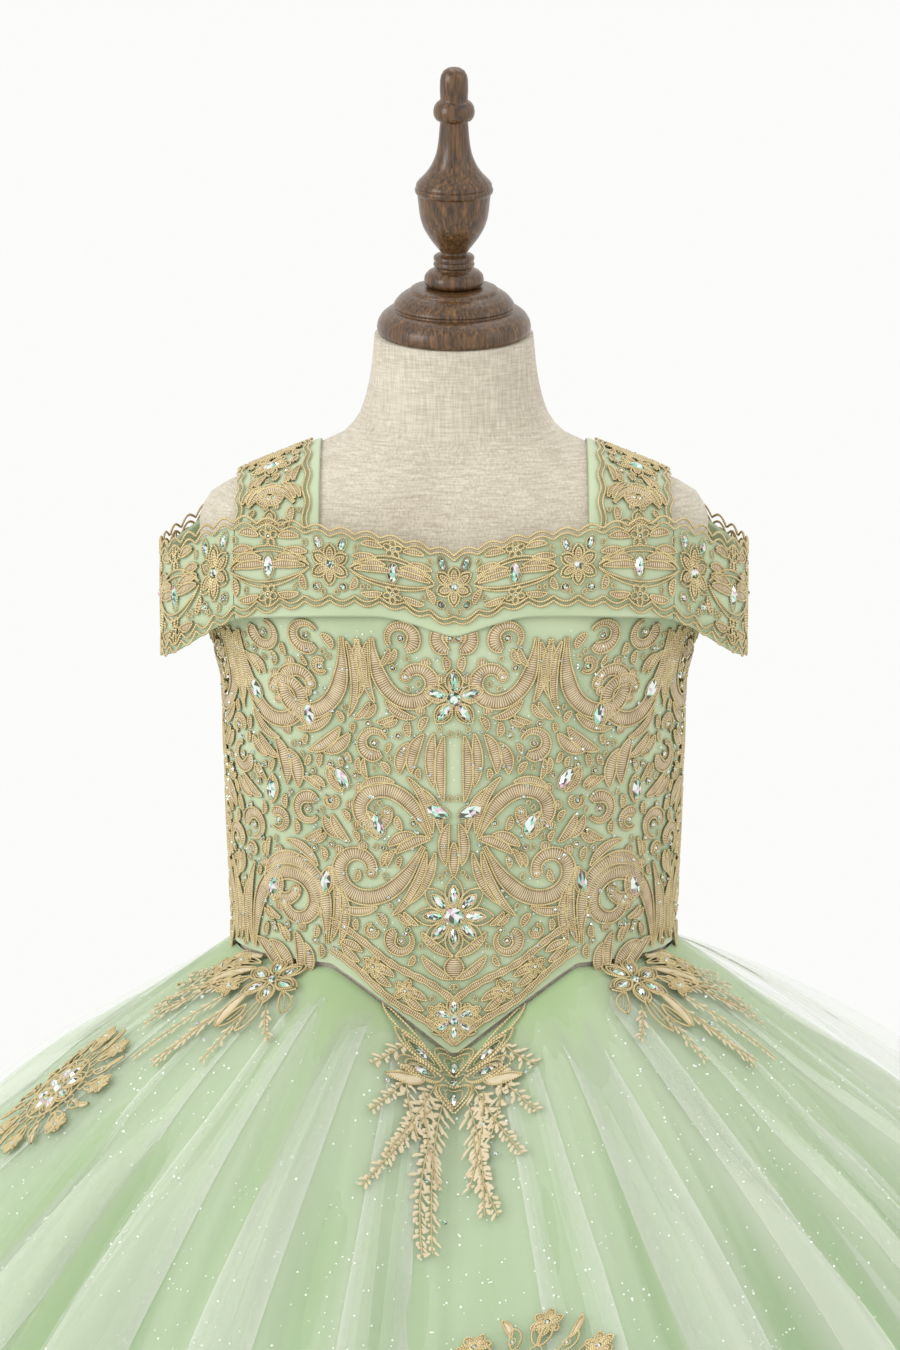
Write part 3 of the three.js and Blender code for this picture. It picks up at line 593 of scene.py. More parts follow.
bodice_front = bodice_panel(
    "satin_front", lambda u, z: lerp(-np.pi + SIDE_SEAM, -SIDE_SEAM, u), "bodice_front", 180
)
bodice_back_left = bodice_panel(
    "satin_back_left", lambda u, z: lerp(SIDE_SEAM, zip_edge(z), u), "bodice_back_left", 80
)
bodice_back_right = bodice_panel(
    "satin_back_right", lambda u, z: np.pi - lerp(zip_edge(z), SIDE_SEAM, u), "bodice_back_right", 80
)

# %% [markdown]
# ## Grounds
#
# An embroiderer draws on flat cloth and the cloth is then sewn round a body. Shrinkwrapping curves in
# Blender would do the same, one curve at a time. Here embroidery is drawn flat, with x across the cloth
# and y up it in millimetres, and a ground lays all its points on a surface at once. It gives each
# point's place and the direction out of the cloth there.

# %% Lay flat points on the cloth
ARC_ANGLES = np.linspace(-1.5 * np.pi, 0.5 * np.pi, 1441)
ARC_HEIGHT = 790
ARC_LENGTHS = run_of(body_point(ARC_ANGLES, ARC_HEIGHT, BODICE_OUT))
ARC_LENGTHS -= np.interp(-np.pi / 2, ARC_ANGLES, ARC_LENGTHS)
HALF_ROUND = ARC_LENGTHS[-1]


def with_normals(place, across, up, outward):
    """Points place(across, up) and unit normals from small steps both ways, turned outward."""
    step = 0.4
    points = place(across, up)
    along_across = place(across + step, up) - place(across - step, up)
    along_up = place(across, up + step) - place(across, up - step)
    normals = unit(np.cross(along_across, along_up))
    facing = np.sum(normals * outward(points), axis=-1, keepdims=True)
    return points, normals * np.where(facing < 0, -1, 1)


def from_axis(points):
    """Straight away from the vertical axis."""
    return points * np.array([1, 1, 0])


def bodice_ground(centre=0.0):
    """The bodice's cloth, with x = 0 at a distance round it from the centre front and y = height."""

    def place(across, z):
        wrapped = (across + centre + HALF_ROUND) % (2 * HALF_ROUND) - HALF_ROUND
        return body_point(np.interp(wrapped, ARC_LENGTHS, ARC_ANGLES), z, BODICE_OUT)

    return lambda across, z: with_normals(place, across, z, from_axis)


# %% [markdown]
# ## Embroidery strokes
#
# A satin stitch scroll is a ribbon of thread that curls in at its end. It could be a Bezier curve with
# hand-set handles, but a heading is easier to vary: it turns ever faster along the stroke,
# h(t) = heading + turn t^curl, and the stroke follows it. Widths are formulas of the same t.

# %% Lines and widths
def curl_line(across, up, heading, long, turn=0.0, curl=2.2, step=1.7):
    """Flat points along a line whose heading in degrees is heading + turn t^curl."""
    count = max(5, int(long / step))
    t = (np.arange(count) + 0.5) / count
    direction = np.radians(heading + turn * t**curl)
    steps = np.stack([np.cos(direction), np.sin(direction)], axis=1) * long / count
    return np.concatenate([[[across, up]], [across, up] + np.cumsum(steps, axis=0)])


def beside(line, distance):
    """The line moved sideways: to its left where the distance is positive."""
    along = unit(np.gradient(line, axis=0))
    left = np.stack([-along[:, 1], along[:, 0]], axis=1)
    return line + left * np.broadcast_to(distance, (len(line),))[:, None]


def leaf_widths(count, wide):
    """Half widths of a leaf: sin(pi t)^0.7, never quite 0."""
    return wide / 2 * np.maximum(np.sin(np.pi * np.linspace(0, 1, count)), 0.02) ** 0.7


def scroll_widths(count, wide):
    """Half widths of a scroll: thin at its root, full at a third and a little slimmer in the curl."""
    t = np.linspace(0, 1, count)
    return wide / 2 * (0.25 + 0.75 * smoothstep(0, 0.3, t)) * (1 - 0.3 * smoothstep(0.6, 1, t))


# %% [markdown]
# Real corded lace has three parts: filled strokes, gold cord along their edges, and stones. A `Pattern`
# keeps lists of all three, and remembers the room each one takes. Motifs are its methods, from a plain
# leaf to a scroll with lobes and leaves, so that a design is a short list of calls.

# %% Motifs
FILL_MARGIN = 0.8  # free cloth kept round a filled stroke
LONG_RINGS = {"navette": 1.9, "drop": 1.9}  # a ring's length beside its width


class Pattern:
    """Flat strokes of one motif or one panel, with the room that they take up."""

    def __init__(self):
        self.fills, self.cords, self.stones, self.taken = [], [], [], []

    def take(self, line, reach):
        self.taken.append(np.column_stack([line, np.broadcast_to(reach, (len(line),))]))

    def cord(self, line, radius=0.62, centred=False):
        self.cords.append((line, radius, centred))

    def edges(self, line, half, centred=False):
        """A cord along both sides of a stroke."""
        self.cord(beside(line, half), centred=centred)
        self.cord(beside(line, -half), centred=centred)

    def fill(self, line, half, centred=False, edged=True):
        self.fills.append((line, half, centred))
        if edged:
            self.edges(line, half, centred)
        self.take(line, half + FILL_MARGIN)

    def leaf(self, across, up, heading, long, turn, wide, centred=False, vein=False, filled=True):
        """A leaf of satin stitch, or only its outline in cord."""
        line = curl_line(across, up, heading, long, turn, 1.2, step=1.8)
        half = leaf_widths(len(line), wide)
        if filled:
            self.fill(line, half, centred)
        else:
            self.edges(line, half, centred)
            self.take(line, half)
        if vein:
            self.cord(line[: int(0.8 * len(line))], 0.35, centred)

    def bundle(self, across, up, heading, long, turn, leaves=3, wide=3.4):
        """Long leaves side by side. Each next one starts further out and ends sooner."""
        outward = toward(heading - 90 * np.sign(turn))
        for k in range(leaves):
            self.leaf(*([across, up] + 0.98 * k * wide * outward), heading, long * (1 - 0.2 * k), turn, wide)

    def ring(self, middle, radius, radius_y=None, turn=0.0, centred=False, cord=0.45):
        """A closed loop of cord: a circle or an ellipse."""
        around = np.linspace(0, 2 * np.pi, max(10, int(radius * 3)))
        x, y = radius * np.cos(around), (radius_y or radius) * np.sin(around)
        c, s = toward(turn)
        self.cord(np.stack([middle[0] + c * x - s * y, middle[1] + s * x + c * y], axis=1), cord, centred)
        self.take(np.array([middle]), radius)

    def knot(self, middle, radius):
        """A small domed dot of satin stitch in a ring of cord."""
        x = np.linspace(-1, 1, 6)
        line = np.stack([middle[0] + x * radius, np.full(6, middle[1])], axis=1)
        self.fill(line, radius * np.sqrt(np.maximum(1 - x**2, 0.01)), edged=False)
        self.ring(middle, radius)

    def stone(self, across, up, kind, size, turn=0.0, centred=False):
        """A stone in a ring of cord. A bead has no ring."""
        self.stones.append((across, up, kind, size, turn, centred))
        if kind != "bead":
            long = size * LONG_RINGS.get(kind, 1.0)
            self.ring((across, up), long + 0.35, size + 0.35, turn, centred, 0.4)

    def scroll(self, across, up, heading, long, turn, wide, lobes=4):
        """A curling ribbon with a lobed outer side, two long leaves at its root and one further on."""
        line = curl_line(across, up, heading, long, turn)
        half = scroll_widths(len(line), wide)
        self.fill(line, half)
        self.cord(line[: int(0.45 * len(line))], 0.45)
        self.knot(line[-1], wide * 0.36)
        self.stone(*line[-1], "round", 1.5)
        outer = -np.sign(turn)
        edge = beside(line, outer * (half + wide * 0.16))
        for share in np.linspace(0.6, 0.88, lobes):
            self.knot(edge[int(share * (len(line) - 1))], wide * 0.3)
        self.bundle(*edge[1], heading + outer * 20, long * 0.42, -outer * 44, 2, wide * 0.58)
        foot = int(0.4 * len(line))
        along = edge[int(0.42 * len(line))] - edge[foot]
        way = math.degrees(math.atan2(along[1], along[0]))
        self.leaf(*edge[foot], way + outer * 16, long * 0.24, -outer * 60, wide * 0.55)

    def blossom(self, across, up, radius, petals, turn=90.0, stone="round", centred=False):
        """A flower of cord loops round a stone. A large one's loops hold a filled leaf each."""
        wide = radius * min(0.62, 1.25 * math.sin(math.pi / petals))
        for k in range(petals):
            way = turn + 360 * k / petals
            root = toward(way) * radius * 0.2 + [across, up]
            self.leaf(*root, way, radius * 0.86, 0, wide, centred, filled=False)
            if wide > 3.4:
                self.leaf(*root, way, radius * 0.66, 0, wide * 0.5, centred)
        self.stone(across, up, stone, radius * 0.26, centred=centred)
        self.take(np.array([[across, up]]), radius)

    def comma(self, across, up, room, way, hand):
        """A curl that fills a round spot: thick at its head and thin at its tail, with a stone inside."""
        radius = room * 0.56
        start = [across, up] + radius * toward(way)
        line = curl_line(*start, way + 90 * hand, radius * 5, 286 * hand, 1.0, step=1.4)
        t = np.linspace(0, 1, len(line))
        self.fill(line, room * 0.33 * np.sqrt(np.clip(7 * t, 0.1, 1)) * (1 - 0.8 * t))
        self.stone(across, up, "round", 1.5)


# %% [markdown]
# Between the large motifs a maker fits small ones, so that no bare patch is left. Scattering them by
# chance would leave holes and crossings. So the widest free spot is found on a grid, the motif that
# fits there is drawn, and the room that is left is measured again.

# %% Fill the room between motifs
WIDEST_SPOT, COMMA_SPOT, BUNDLE_SPOT, LEAF_SPOT = 11.0, 5.0, 4.2, 2.5
COMMA_CHANCE = 0.45


def free_room(taken, across, up):
    """How far each flat point is from all the strokes in a list of what is taken."""
    taken = np.concatenate(taken)
    spots = np.stack([across, up], axis=-1)[..., None, :]
    return np.min(np.linalg.norm(spots - taken[:, :2], axis=-1) - taken[:, 2], axis=-1)


def draw_filler(pattern, x, y, clear, chance):
    """The motif that suits a free spot of radius clear."""
    way = chance.choice((-90, 90)) + chance.uniform(-32, 32)
    ahead = toward(way) * clear
    hand = chance.choice((-1, 1))
    if clear > COMMA_SPOT and chance.random() < COMMA_CHANCE:
        pattern.comma(x, y, clear, chance.uniform(0, 360), hand)
    elif clear > BUNDLE_SPOT:
        pattern.bundle(*([x, y] - ahead * 1.1), way + 14 * hand, clear * 2.3, hand * 50, 2, clear * 0.62)
        pattern.stone(*([x, y] + ahead), "round", 1.3)
    elif clear > LEAF_SPOT:
        pattern.leaf(*([x, y] - ahead), way - 28 * hand, clear * 2.1, 60 * hand, clear * 0.95)
    else:
        pattern.ring((x, y), clear * 0.7, clear * 0.5, way)


def fill_gaps(pattern, low, high, inside, most, least, spacing=2.5, seed=1):
    """Puts the motif that fits into the widest free spot, again and again."""
    chance = np.random.default_rng(seed)
    across, up = np.meshgrid(np.arange(low[0], high[0], spacing), np.arange(low[1], high[1], spacing))
    keep = inside(across, up)
    across, up = across[keep], up[keep]
    room = free_room(pattern.taken, across, up)
    for _ in range(most):
        widest = int(np.argmax(room))
        clear = min(room[widest], WIDEST_SPOT)
        if clear < least:
            break
        drawn = len(pattern.taken)
        draw_filler(pattern, across[widest], up[widest], clear, chance)
        room = np.minimum(room, free_room(pattern.taken[drawn:], across, up))


# %% [markdown]
# Sewing lays a pattern on a ground. Satin stitch stands up as a low dome and cord as a thin round
# thread, and both catch the light, so both are real relief and not a bump. A stroke drawn beside the
# middle is sewn twice, the second time mirrored. All of a pattern's points are looked up together,
# because a call for each stroke is slow.

# %% Sew patterns
RIBBON_ACROSS = np.array([-1, -0.6, 0, 0.6, 1])
CORD_ROUND = np.radians([0, 90, 180, 270])


def sides_of(centred, mirrored):
    return (1,) if centred or not mirrored else (1, -1)


def both_sides(strokes, mirrored):
    """Each stroke, and its mirror image where it has one."""
    return [(line * [side, 1], wide) for line, wide, c in strokes for side in sides_of(c, mirrored)]


def on_ground(ground, flats):
    """Points and normals for each of many arrays of flat points, looked up together."""
    points, normals = ground(*np.concatenate([flat.reshape(-1, 2) for flat in flats]).T)
    ends = np.cumsum([flat.size // 2 for flat in flats])[:-1]
    split = zip(flats, np.split(points, ends), np.split(normals, ends))
    return [(p.reshape(*f.shape[:-1], 3), n.reshape(*f.shape[:-1], 3)) for f, p, n in split]


def sew_fill(pile, line, half, points, normals, height=0.5, dome=0.9):
    """A domed ribbon: height + dome (1 - u^2) above the cloth, for u across it from -1 to 1."""
    lift = height + dome * (1 - RIBBON_ACROSS**2) * np.minimum(1, half / 1.6)[:, None]
    flat = np.stack(np.broadcast_arrays(run_of(line)[:, None], half[:, None] * RIBBON_ACROSS), axis=-1)
    # Painted shade: the stroke darkens towards both edges, where it meets its cords.
    shade = np.broadcast_to(1 - 0.75 * RIBBON_ACROSS**4, flat.shape[:2])
    pile.add_grid(points + normals * lift[..., None], flat, shade=shade)


def sew_cord(pile, line, radius, points, normals, height=1.0):
    """A thin tube: rings square to the line, half sunk in the stitches below."""
    middle = points + normals * height
    side = unit(np.cross(unit(np.gradient(middle, axis=0)), normals))
    ring = np.cos(CORD_ROUND)[:, None] * side[:, None] + np.sin(CORD_ROUND)[:, None] * normals[:, None]
    flat = np.stack(np.broadcast_arrays(run_of(line)[:, None], CORD_ROUND), axis=-1)
    # Painted shade and light: each cord is darkest on its underside and lightest on top.
    shade = np.broadcast_to(0.55 + 0.45 * np.sin(CORD_ROUND), flat.shape[:2])
    pile.add_grid(middle[:, None] + radius * ring, flat, tube=True, shade=shade)


def placed_stone(ground, across, up, kind, size, turn):
    """A stone's place, its axes (along, aside, out), its kind and its size."""
    points, normals = ground(*np.array([[across, up], [across, up] + toward(turn)]).T)
    out = normals[0]
    along = unit(points[1] - points[0])
    along = unit(along - out * np.dot(along, out))
    return points[0], np.stack([along, np.cross(out, along), out]), kind, size


def sew(pattern, ground, fills, cords, stones, mirrored=True):
    """Lays a whole pattern on a ground."""
    strokes = both_sides(pattern.fills, mirrored)
    grids = [np.stack([beside(line, half * u) for u in RIBBON_ACROSS], axis=1) for line, half in strokes]
    for (line, half), (points, normals) in zip(strokes, on_ground(ground, grids)):
        sew_fill(fills, line, half, points, normals)
    runs = both_sides(pattern.cords, mirrored)
    for (line, radius), (points, normals) in zip(runs, on_ground(ground, [line for line, _ in runs])):
        sew_cord(cords, line, radius, points, normals)
    for across, up, kind, size, turn, centred in pattern.stones:
        for side in sides_of(centred, mirrored):
            stones.append(placed_stone(ground, side * across, up, kind, size, turn * side))


# %% [markdown]
# ## The embroidery of the bodice
#
# The bodice is covered all over. Tall scrolls stand in pairs on both halves, three star flowers of
# stones stand on the middle line, and two borders follow the point. The scrolls' places are a short
# table of this design's own, and the filler takes the rest. The backs have scrolls too, set out from
# the zip.

# %% Design of the bodice
PANEL_LOW, PANEL_HIGH, PANEL_HALF, ZIP_MARGIN = 701, 868, 150, 8
POINT_FLOWER = 673
SCROLLS = [
    # across, height, heading, long, turn, wide
    (12, 766, 66, 76, -345, 7.4),
    (15, 762, -62, 92, 350, 7.8),
    (38, 866, -92, 74, -340, 7.2),
    (52, 866, -86, 92, 350, 7.8),
    (66, 710, 92, 94, -345, 8.2),
    (112, 703, 96, 104, 350, 8.0),
    (108, 866, -84, 96, -345, 7.6),
    (122, 866, -96, 92, 345, 7.4),
    (132, 703, 84, 100, -350, 7.6),
]
BACK_SCROLLS = [
    (20, 706, 100, 92, -350, 7.8),
    (22, 862, -95, 92, 350, 7.6),
    (84, 703, 92, 100, -345, 8.0),
    (78, 866, -86, 92, 350, 7.8),
    (112, 703, 96, 90, 350, 7.6),
    (108, 866, -84, 84, -345, 7.4),
]
DROPS = [
    # stones by the scrolls: across, height, turn
    (38, 772, 70), (66, 742, 100), (73, 826, 80), (96, 786, 95), (104, 836, 70), (97, 736, 110),
    (56, 795, 60),
]


def star_stones(pattern, height, petals, reach, size):
    """Navette stones in the petals of a flower on the middle line."""
    for k in range(petals):
        way = 90 + 360 * k / petals
        across, up = reach * toward(way) + [0, height]
        pattern.stone(across, up, "navette", size, way, centred=True)


def point_borders(pattern, columns=40):
    """Two wavy borders along the point's edge, with small flowers between them."""
    for rise, wide in ((1.2, 3.2), (20.0, 3.4)):
        line = np.linspace([64, 706.5 + rise * 0.8], [0, 660 + rise * 1.15], columns)
        line[:, 1] += 1.2 * np.sin(np.linspace(0, 3 * np.pi, columns))
        swell = 0.7 + 0.3 * np.sin(np.linspace(0, 9 * np.pi, columns)) ** 2
        pattern.fill(line, wide / 2 * swell)
    for along in (0.1, 0.4, 0.7):
        across, up = lerp(3, 58, along), lerp(672, 712, along)
        pattern.blossom(across, up, 6.0, 5, 40)
        pattern.leaf(across + 5.5, up + 7, 40, 13, -40, 4.0)
        pattern.leaf(across + 7, up + 2, 26, 13, 40, 4.0)


def on_panel(x, y):
    return (y > PANEL_LOW) & (y < PANEL_HIGH) & (x < PANEL_HALF)


def on_point(x, y):
    """Inside the basque point, between its borders and the lowest star flower."""
    return (y < 726 - 0.7 * x) & (y > 664 + 0.73 * x)


def front_design():
    """The front panel's pattern."""
    p = Pattern()
    for row in SCROLLS:
        p.scroll(*row)
    p.blossom(0, 726, 19, 8, centred=True)
    p.blossom(0, 836, 14, 5, centred=True)
    star_stones(p, 726, 8, 10.5, 2.4)
    star_stones(p, 836, 5, 8.4, 2.5)
    p.stone(8, 779, "navette", 3.2, 25)
    for across, z, turn in DROPS:
        p.stone(across, z, "navette", 3.0, turn)
        p.leaf(across, z - 7, turn - 30, 16, 70, 3.0)
        p.leaf(across, z - 7, turn + 30, 16, -70, 3.0)
    p.bundle(5, 818, -78, 34, -26, 2, 5.2)
    p.leaf(4, 752, 76, 22, 40, 5.0)
    p.leaf(0, 746, 90, 18, 0, 5, centred=True)
    p.leaf(0, 706, -90, 12, 0, 10, centred=True)
    for up in (706, 694):
        p.leaf(1, up, 20, 20, 40, 4.4)
    p.blossom(0, POINT_FLOWER, 12, 6, centred=True)
    star_stones(p, POINT_FLOWER, 6, 6.6, 2.1)
    point_borders(p)
    fill_gaps(p, (2, 701), (152, 872), on_panel, 260, least=1.9, seed=3)
    fill_gaps(p, (1, 668), (62, 712), on_point, 40, least=1.8, spacing=2.0)
    return p


def back_design():
    """One back panel's pattern, measured from the centre back."""
    p = Pattern()
    for row in BACK_SCROLLS:
        p.scroll(*row)
    fill_gaps(p, (9, 701), (150, 872), lambda x, y: on_panel(x, y) & (x > ZIP_MARGIN), 220, 2.0, seed=5)
    return p


stones = []
for name, pattern, centre in (("front", front_design(), 0.0), ("back", back_design(), HALF_ROUND)):
    fills, cords = Stitching(), Stitching()
    sew(pattern, bodice_ground(centre), fills, cords, stones)
    fills.make(f"bodice_stitching_{name}", FILL, slot="lace")
    cords.make(f"bodice_cords_{name}", CORD, slot="lace")
    print(f"bodice {name}: {len(pattern.fills)} filled strokes and {len(pattern.cords)} cords")

# %% [markdown]
# ## The band round the shoulders
#
# The band is a strip of satin folded in at both edges, which crosses the chest and stands away from the
# form at the arms. A flat strip with thickness would show raw edges. So its section goes up the outside
# and turns in at both edges, and is swept round a wider superellipse than the form's, with edges that
# wave with the distance across from the middle.

# %% Band cloth
BAND_HALF, BAND_WALL, LACE_WALL, BAND_CLEARANCE, BAND_SQUARE = 149, 1.8, 1.2, 0.5, 2.3
BAND_ACROSS = (0, 40, 104, 149)
BAND_LOWER = (867, 877, 874, 847)
BAND_UPPER = (905, 914, 919, 899)


def band_point(angle, v, out):
    """The band's section is a superellipse as deep as the bodice and as wide as BAND_HALF."""
    angle, v, out = np.broadcast_arrays(np.asarray(angle, float), v, out)
    across = BAND_HALF * np.abs(np.cos(angle)) ** (2 / BAND_SQUARE)
    lower = table_value(BAND_ACROSS, BAND_LOWER, across)
    upper = table_value(BAND_ACROSS, BAND_UPPER, across)
    middle = lerp(BAND_LOWER[0], BAND_UPPER[0], v)
    depth = np.where(np.sin(angle) < 0, form_value("front", middle), form_value("back", middle))
    depth = depth + BODICE_OUT + BAND_CLEARANCE + out
    half = BAND_HALF - BAND_WALL - LACE_WALL + out
    x = half * signed_power(np.cos(angle), 2 / BAND_SQUARE)
    y = depth * signed_power(np.sin(angle), 2 / BAND_SQUARE)
    return np.stack([x, y, lerp(lower, upper, v)], axis=-1)


BAND_SECTION = np.array([
    # v up the band, out from its inner face
    (0.45, 0.2), (0.2, 0.1), (0.03, 0.1), (-0.01, 0.9), (0.02, 1.6), (0.12, 1.8), (0.3, 1.9), (0.5, 1.9),
    (0.7, 1.9), (0.88, 1.8), (0.98, 1.6), (1.01, 0.9), (0.97, 0.1), (0.8, 0.1), (0.5, 0.2),
])
BAND_PIECES = {
    "front": (-135, -45), "sleeve_left": (-45, 45), "back_left": (45, 87.6),
    "back_right": (92.4, 135), "sleeve_right": (135, 225),
}


def band_piece(name, first, last):
    columns = int((last - first) * 1.2)
    angle = np.radians(np.linspace(first + 0.1, last - 0.1, columns))[None, :]
    v, out = BAND_SECTION[:, :1], BAND_SECTION[:, 1:]
    ripple = 0.25 * np.sin(13 * angle + 3 * v)
    pile = Stitching()
    shade = 0.9 + 0.1 * np.sin(11 * angle + 0 * v)
    pile.add_grid(band_point(angle, v, out + ripple * (out > 1)), shade=shade)
    made = pile.make(f"satin_band_{name}", SATIN, slot="satin")
    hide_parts(f"band_{name}")
    grid = band_point(angle, v, out)


for name, (first, last) in BAND_PIECES.items():
    band_piece(name, first, last)

# %% [markdown]
# The lace on the band is a border: one unit repeats along it. Here that unit is a flower of loops and
# then a lens of doubled cord with a stone and leaves in it, and two scalloped cords run along each edge.
# An array modifier would repeat stiff copies; drawn along the band's own length, the unit bends with it.

# %% Band lace
BAND_ANGLES = np.linspace(-1.5 * np.pi, 0.5 * np.pi, 1441)
BAND_ARC = run_of(band_point(BAND_ANGLES, 0.5, 0))
BAND_ARC -= np.interp(-np.pi / 2, BAND_ANGLES, BAND_ARC)
BAND_OUT = 2.0
LACE_LOW, LACE_LOW_AT_ENDS, LACE_HIGH, LACE_TALL = 0.13, -0.03, 1.05, 36


def band_ground(across, up):
    """x is the distance round the band from the centre front, y the height on the lace to LACE_TALL."""

    def place(x, y):
        angle = np.interp(x, BAND_ARC, BAND_ANGLES)
        low = lerp(LACE_LOW, LACE_LOW_AT_ENDS, smoothstep(0.35, 0.8, np.abs(np.cos(angle))))
        return band_point(angle, lerp(low, LACE_HIGH, y / LACE_TALL), BAND_OUT)

    return with_normals(place, across, up, from_axis)


def scalloped(end, repeat, level, height):
    """A scalloped line along the band, |sin| of the distance."""
    x = np.arange(0.0, end, 1.5)
    return np.stack([x, level + height * np.abs(np.sin(np.pi * x / repeat))], axis=1)


def band_design(reach, repeat=62.0):
    """Lens shapes of doubled cord between flowers of loops, with scalloped edges."""
    p = Pattern()
    for level, height in ((3.2, -3.0), (5.6, -3.0), (33.0, 2.6), (35.4, 2.6)):
        line = scalloped(reach, repeat / 5, level, height)
        p.cord(line, 0.7)
        p.take(line, 0.7)
    for k in range(int(reach / repeat) + 1):
        middle, centred = k * repeat, k == 0
        if middle + 8 < reach:
            p.blossom(middle, 20, 9.5, 6, 30, centred=centred)
            for side in (-1, 1):
                p.stone(middle + side * 6.5, 9.5, "round", 1.8)
                p.stone(middle + side * 6.0, 30, "drop", 1.8, 90 - side * 20)
        far = middle + repeat / 2
        if far + 20 < reach:
            for wide in (12.5, 16.5):
                p.leaf(far - 21, 19, 0, 42, 0, wide, filled=False)
            p.bundle(far - 19, 19, 8, 20, -16, 3, 3.2)
            p.bundle(far + 19, 19, 172, 20, 16, 3, 3.2)
            p.stone(far, 19, "navette", 2.6, 90)
            for up, way in ((31.0, 1), (7.6, -1)):
                p.blossom(far, up, 4.6, 5, 90 * way)
                p.leaf(far - 5, up, 180 - 20 * way, 11, 36 * way, 3.0)
                p.leaf(far + 5, up, 20 * way, 11, -36 * way, 3.0)
    fill_gaps(p, (1, 7), (reach - 3, 32), lambda x, y: x > 1.5, 150, least=1.7, spacing=1.6, seed=9)
    return p


band_reach = float(np.interp(np.radians(87), BAND_ANGLES, BAND_ARC))
band_fills, band_cords = Stitching(), Stitching()
sew(band_design(band_reach), band_ground, band_fills, band_cords, stones)
band_fills.make("band_stitching", FILL, slot="lace")
band_lace = band_cords.make("band_cords", CORD, slot="lace")
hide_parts(*[f"lace_{name}" for name in BAND_PIECES])
print(f"band lace: {band_cords.count} points in the cords")

# %% [markdown]
# ## The straps
#
# A strap is a folded strip of satin that keeps one distance across from the middle, up the front, over
# the shoulder and down the back. Shrinkwrap would let it slide and pinch on the shoulder. So its line is
# worked out on the form's sections and its points are spaced evenly by length.

# %% Strap cloth and lace
STRAP_INNER, STRAP_OUTER = 67, 108
STRAP_WIDE = STRAP_OUTER - STRAP_INNER
STRAP_ROWS, STRAP_COLUMNS = 121, 24


def strap_line(across):
    """Points from the front foot to the back foot, at one distance across."""
    tops = np.linspace(915, 956, 400)
    top = tops[np.argmin(np.abs(form_value("half", tops) + FIT_GAP - across))]
    legs = []
    for depth, facing in (("front", -1), ("back", 1)):
        foot = TOP_FRONT if facing < 0 else TOP_BACK
        for _ in range(6):
            share = across / (form_value("half", foot) + FIT_GAP)
            angle = math.acos(share ** (form_value("square", foot) / 2))
            foot = float(bodice_top(facing * angle)) + 0.5
        z = foot + (top - foot) * (1 - (1 - np.linspace(0, 1, 200)) ** 2)
        power = form_value("square", z)
        share = np.minimum(1, across / (form_value("half", z) + FIT_GAP))
        reach = (form_value(depth, z) + FIT_GAP) * (1 - share**power) ** (1 / power)
        y = form_value("middle", z) + facing * reach
        legs.append(np.stack([np.full_like(z, across), y, z], axis=1))
    line = np.concatenate([legs[0], legs[1][::-1]])
    lengths = run_of(line)
    even = np.linspace(0, lengths[-1], STRAP_ROWS)
    return np.stack([np.interp(even, lengths, line[:, k]) for k in range(3)], axis=1)


STRAP_TABLE = np.stack([strap_line(a) for a in np.linspace(STRAP_INNER, STRAP_OUTER, STRAP_COLUMNS)])
STRAP_LONG = float(np.linalg.norm(np.diff(STRAP_TABLE[STRAP_COLUMNS // 2], axis=0), axis=1).sum())


def strap_ground(side, lift):
    """x runs from the strap's inner edge to its outer edge, y from the front foot to the back one."""

    def place(across, up):
        i = np.clip(np.asarray(across) / STRAP_WIDE, -0.02, 1.02) * (STRAP_COLUMNS - 1)
        j = np.clip(np.asarray(up) / STRAP_LONG, 0, 1) * (STRAP_ROWS - 1)
        i0, j0 = np.clip(i.astype(int), 0, STRAP_COLUMNS - 2), np.clip(j.astype(int), 0, STRAP_ROWS - 2)
        a, b = (i - i0)[..., None], (j - j0)[..., None]
        near = lerp(STRAP_TABLE[i0, j0], STRAP_TABLE[i0, j0 + 1], b)
        far = lerp(STRAP_TABLE[i0 + 1, j0], STRAP_TABLE[i0 + 1, j0 + 1], b)
        return lerp(near, far, a) * [side, 1, 1]

    def ground(across, up):
        points, normals = with_normals(place, across, up, lambda p: p - [side * 80, 5, 900])
        return points + normals * lift, normals

    return ground


STRAP_SECTION = [
    # share of the width, out from the form
    (0.4, 0.2), (0.06, 0.1), (-0.005, 0.7), (0.02, 1.4), (0.08, 1.6), (0.3, 1.6), (0.6, 1.6),
    (0.92, 1.6), (0.98, 1.4), (1.005, 0.7), (0.95, 0.1), (0.6, 0.2),
]


def strap_design():
    """Four flowers with a pair of scrolls between each two, and wavy cords along both edges."""
    p = Pattern()
    for edge in (5.0, 7.2, 38.4, 40.6):
        y = np.arange(2, STRAP_LONG - 2, 1.7)
        line = np.stack([edge + 0.8 * np.sin(y / 2.6), y], axis=1)
        p.cord(line, 0.65)
        p.take(line, 0.8)
    for k in range(4):
        y = 16 + k * (STRAP_LONG - 32) / 3
        p.blossom(24, y, 10, 5, 90 + 36 * k, stone="drop" if k % 2 else "round")
        if k < 3:
            p.scroll(12, y + 13, 60, 34, -330, 4.4, lobes=2)
            p.scroll(35, y + 13, 120, 32, 330, 4.2, lobes=2)
    fill_gaps(p, (8, 3), (39, STRAP_LONG - 3), lambda x, y: x > 8, 120, least=1.7, spacing=1.6, seed=4)
    return p


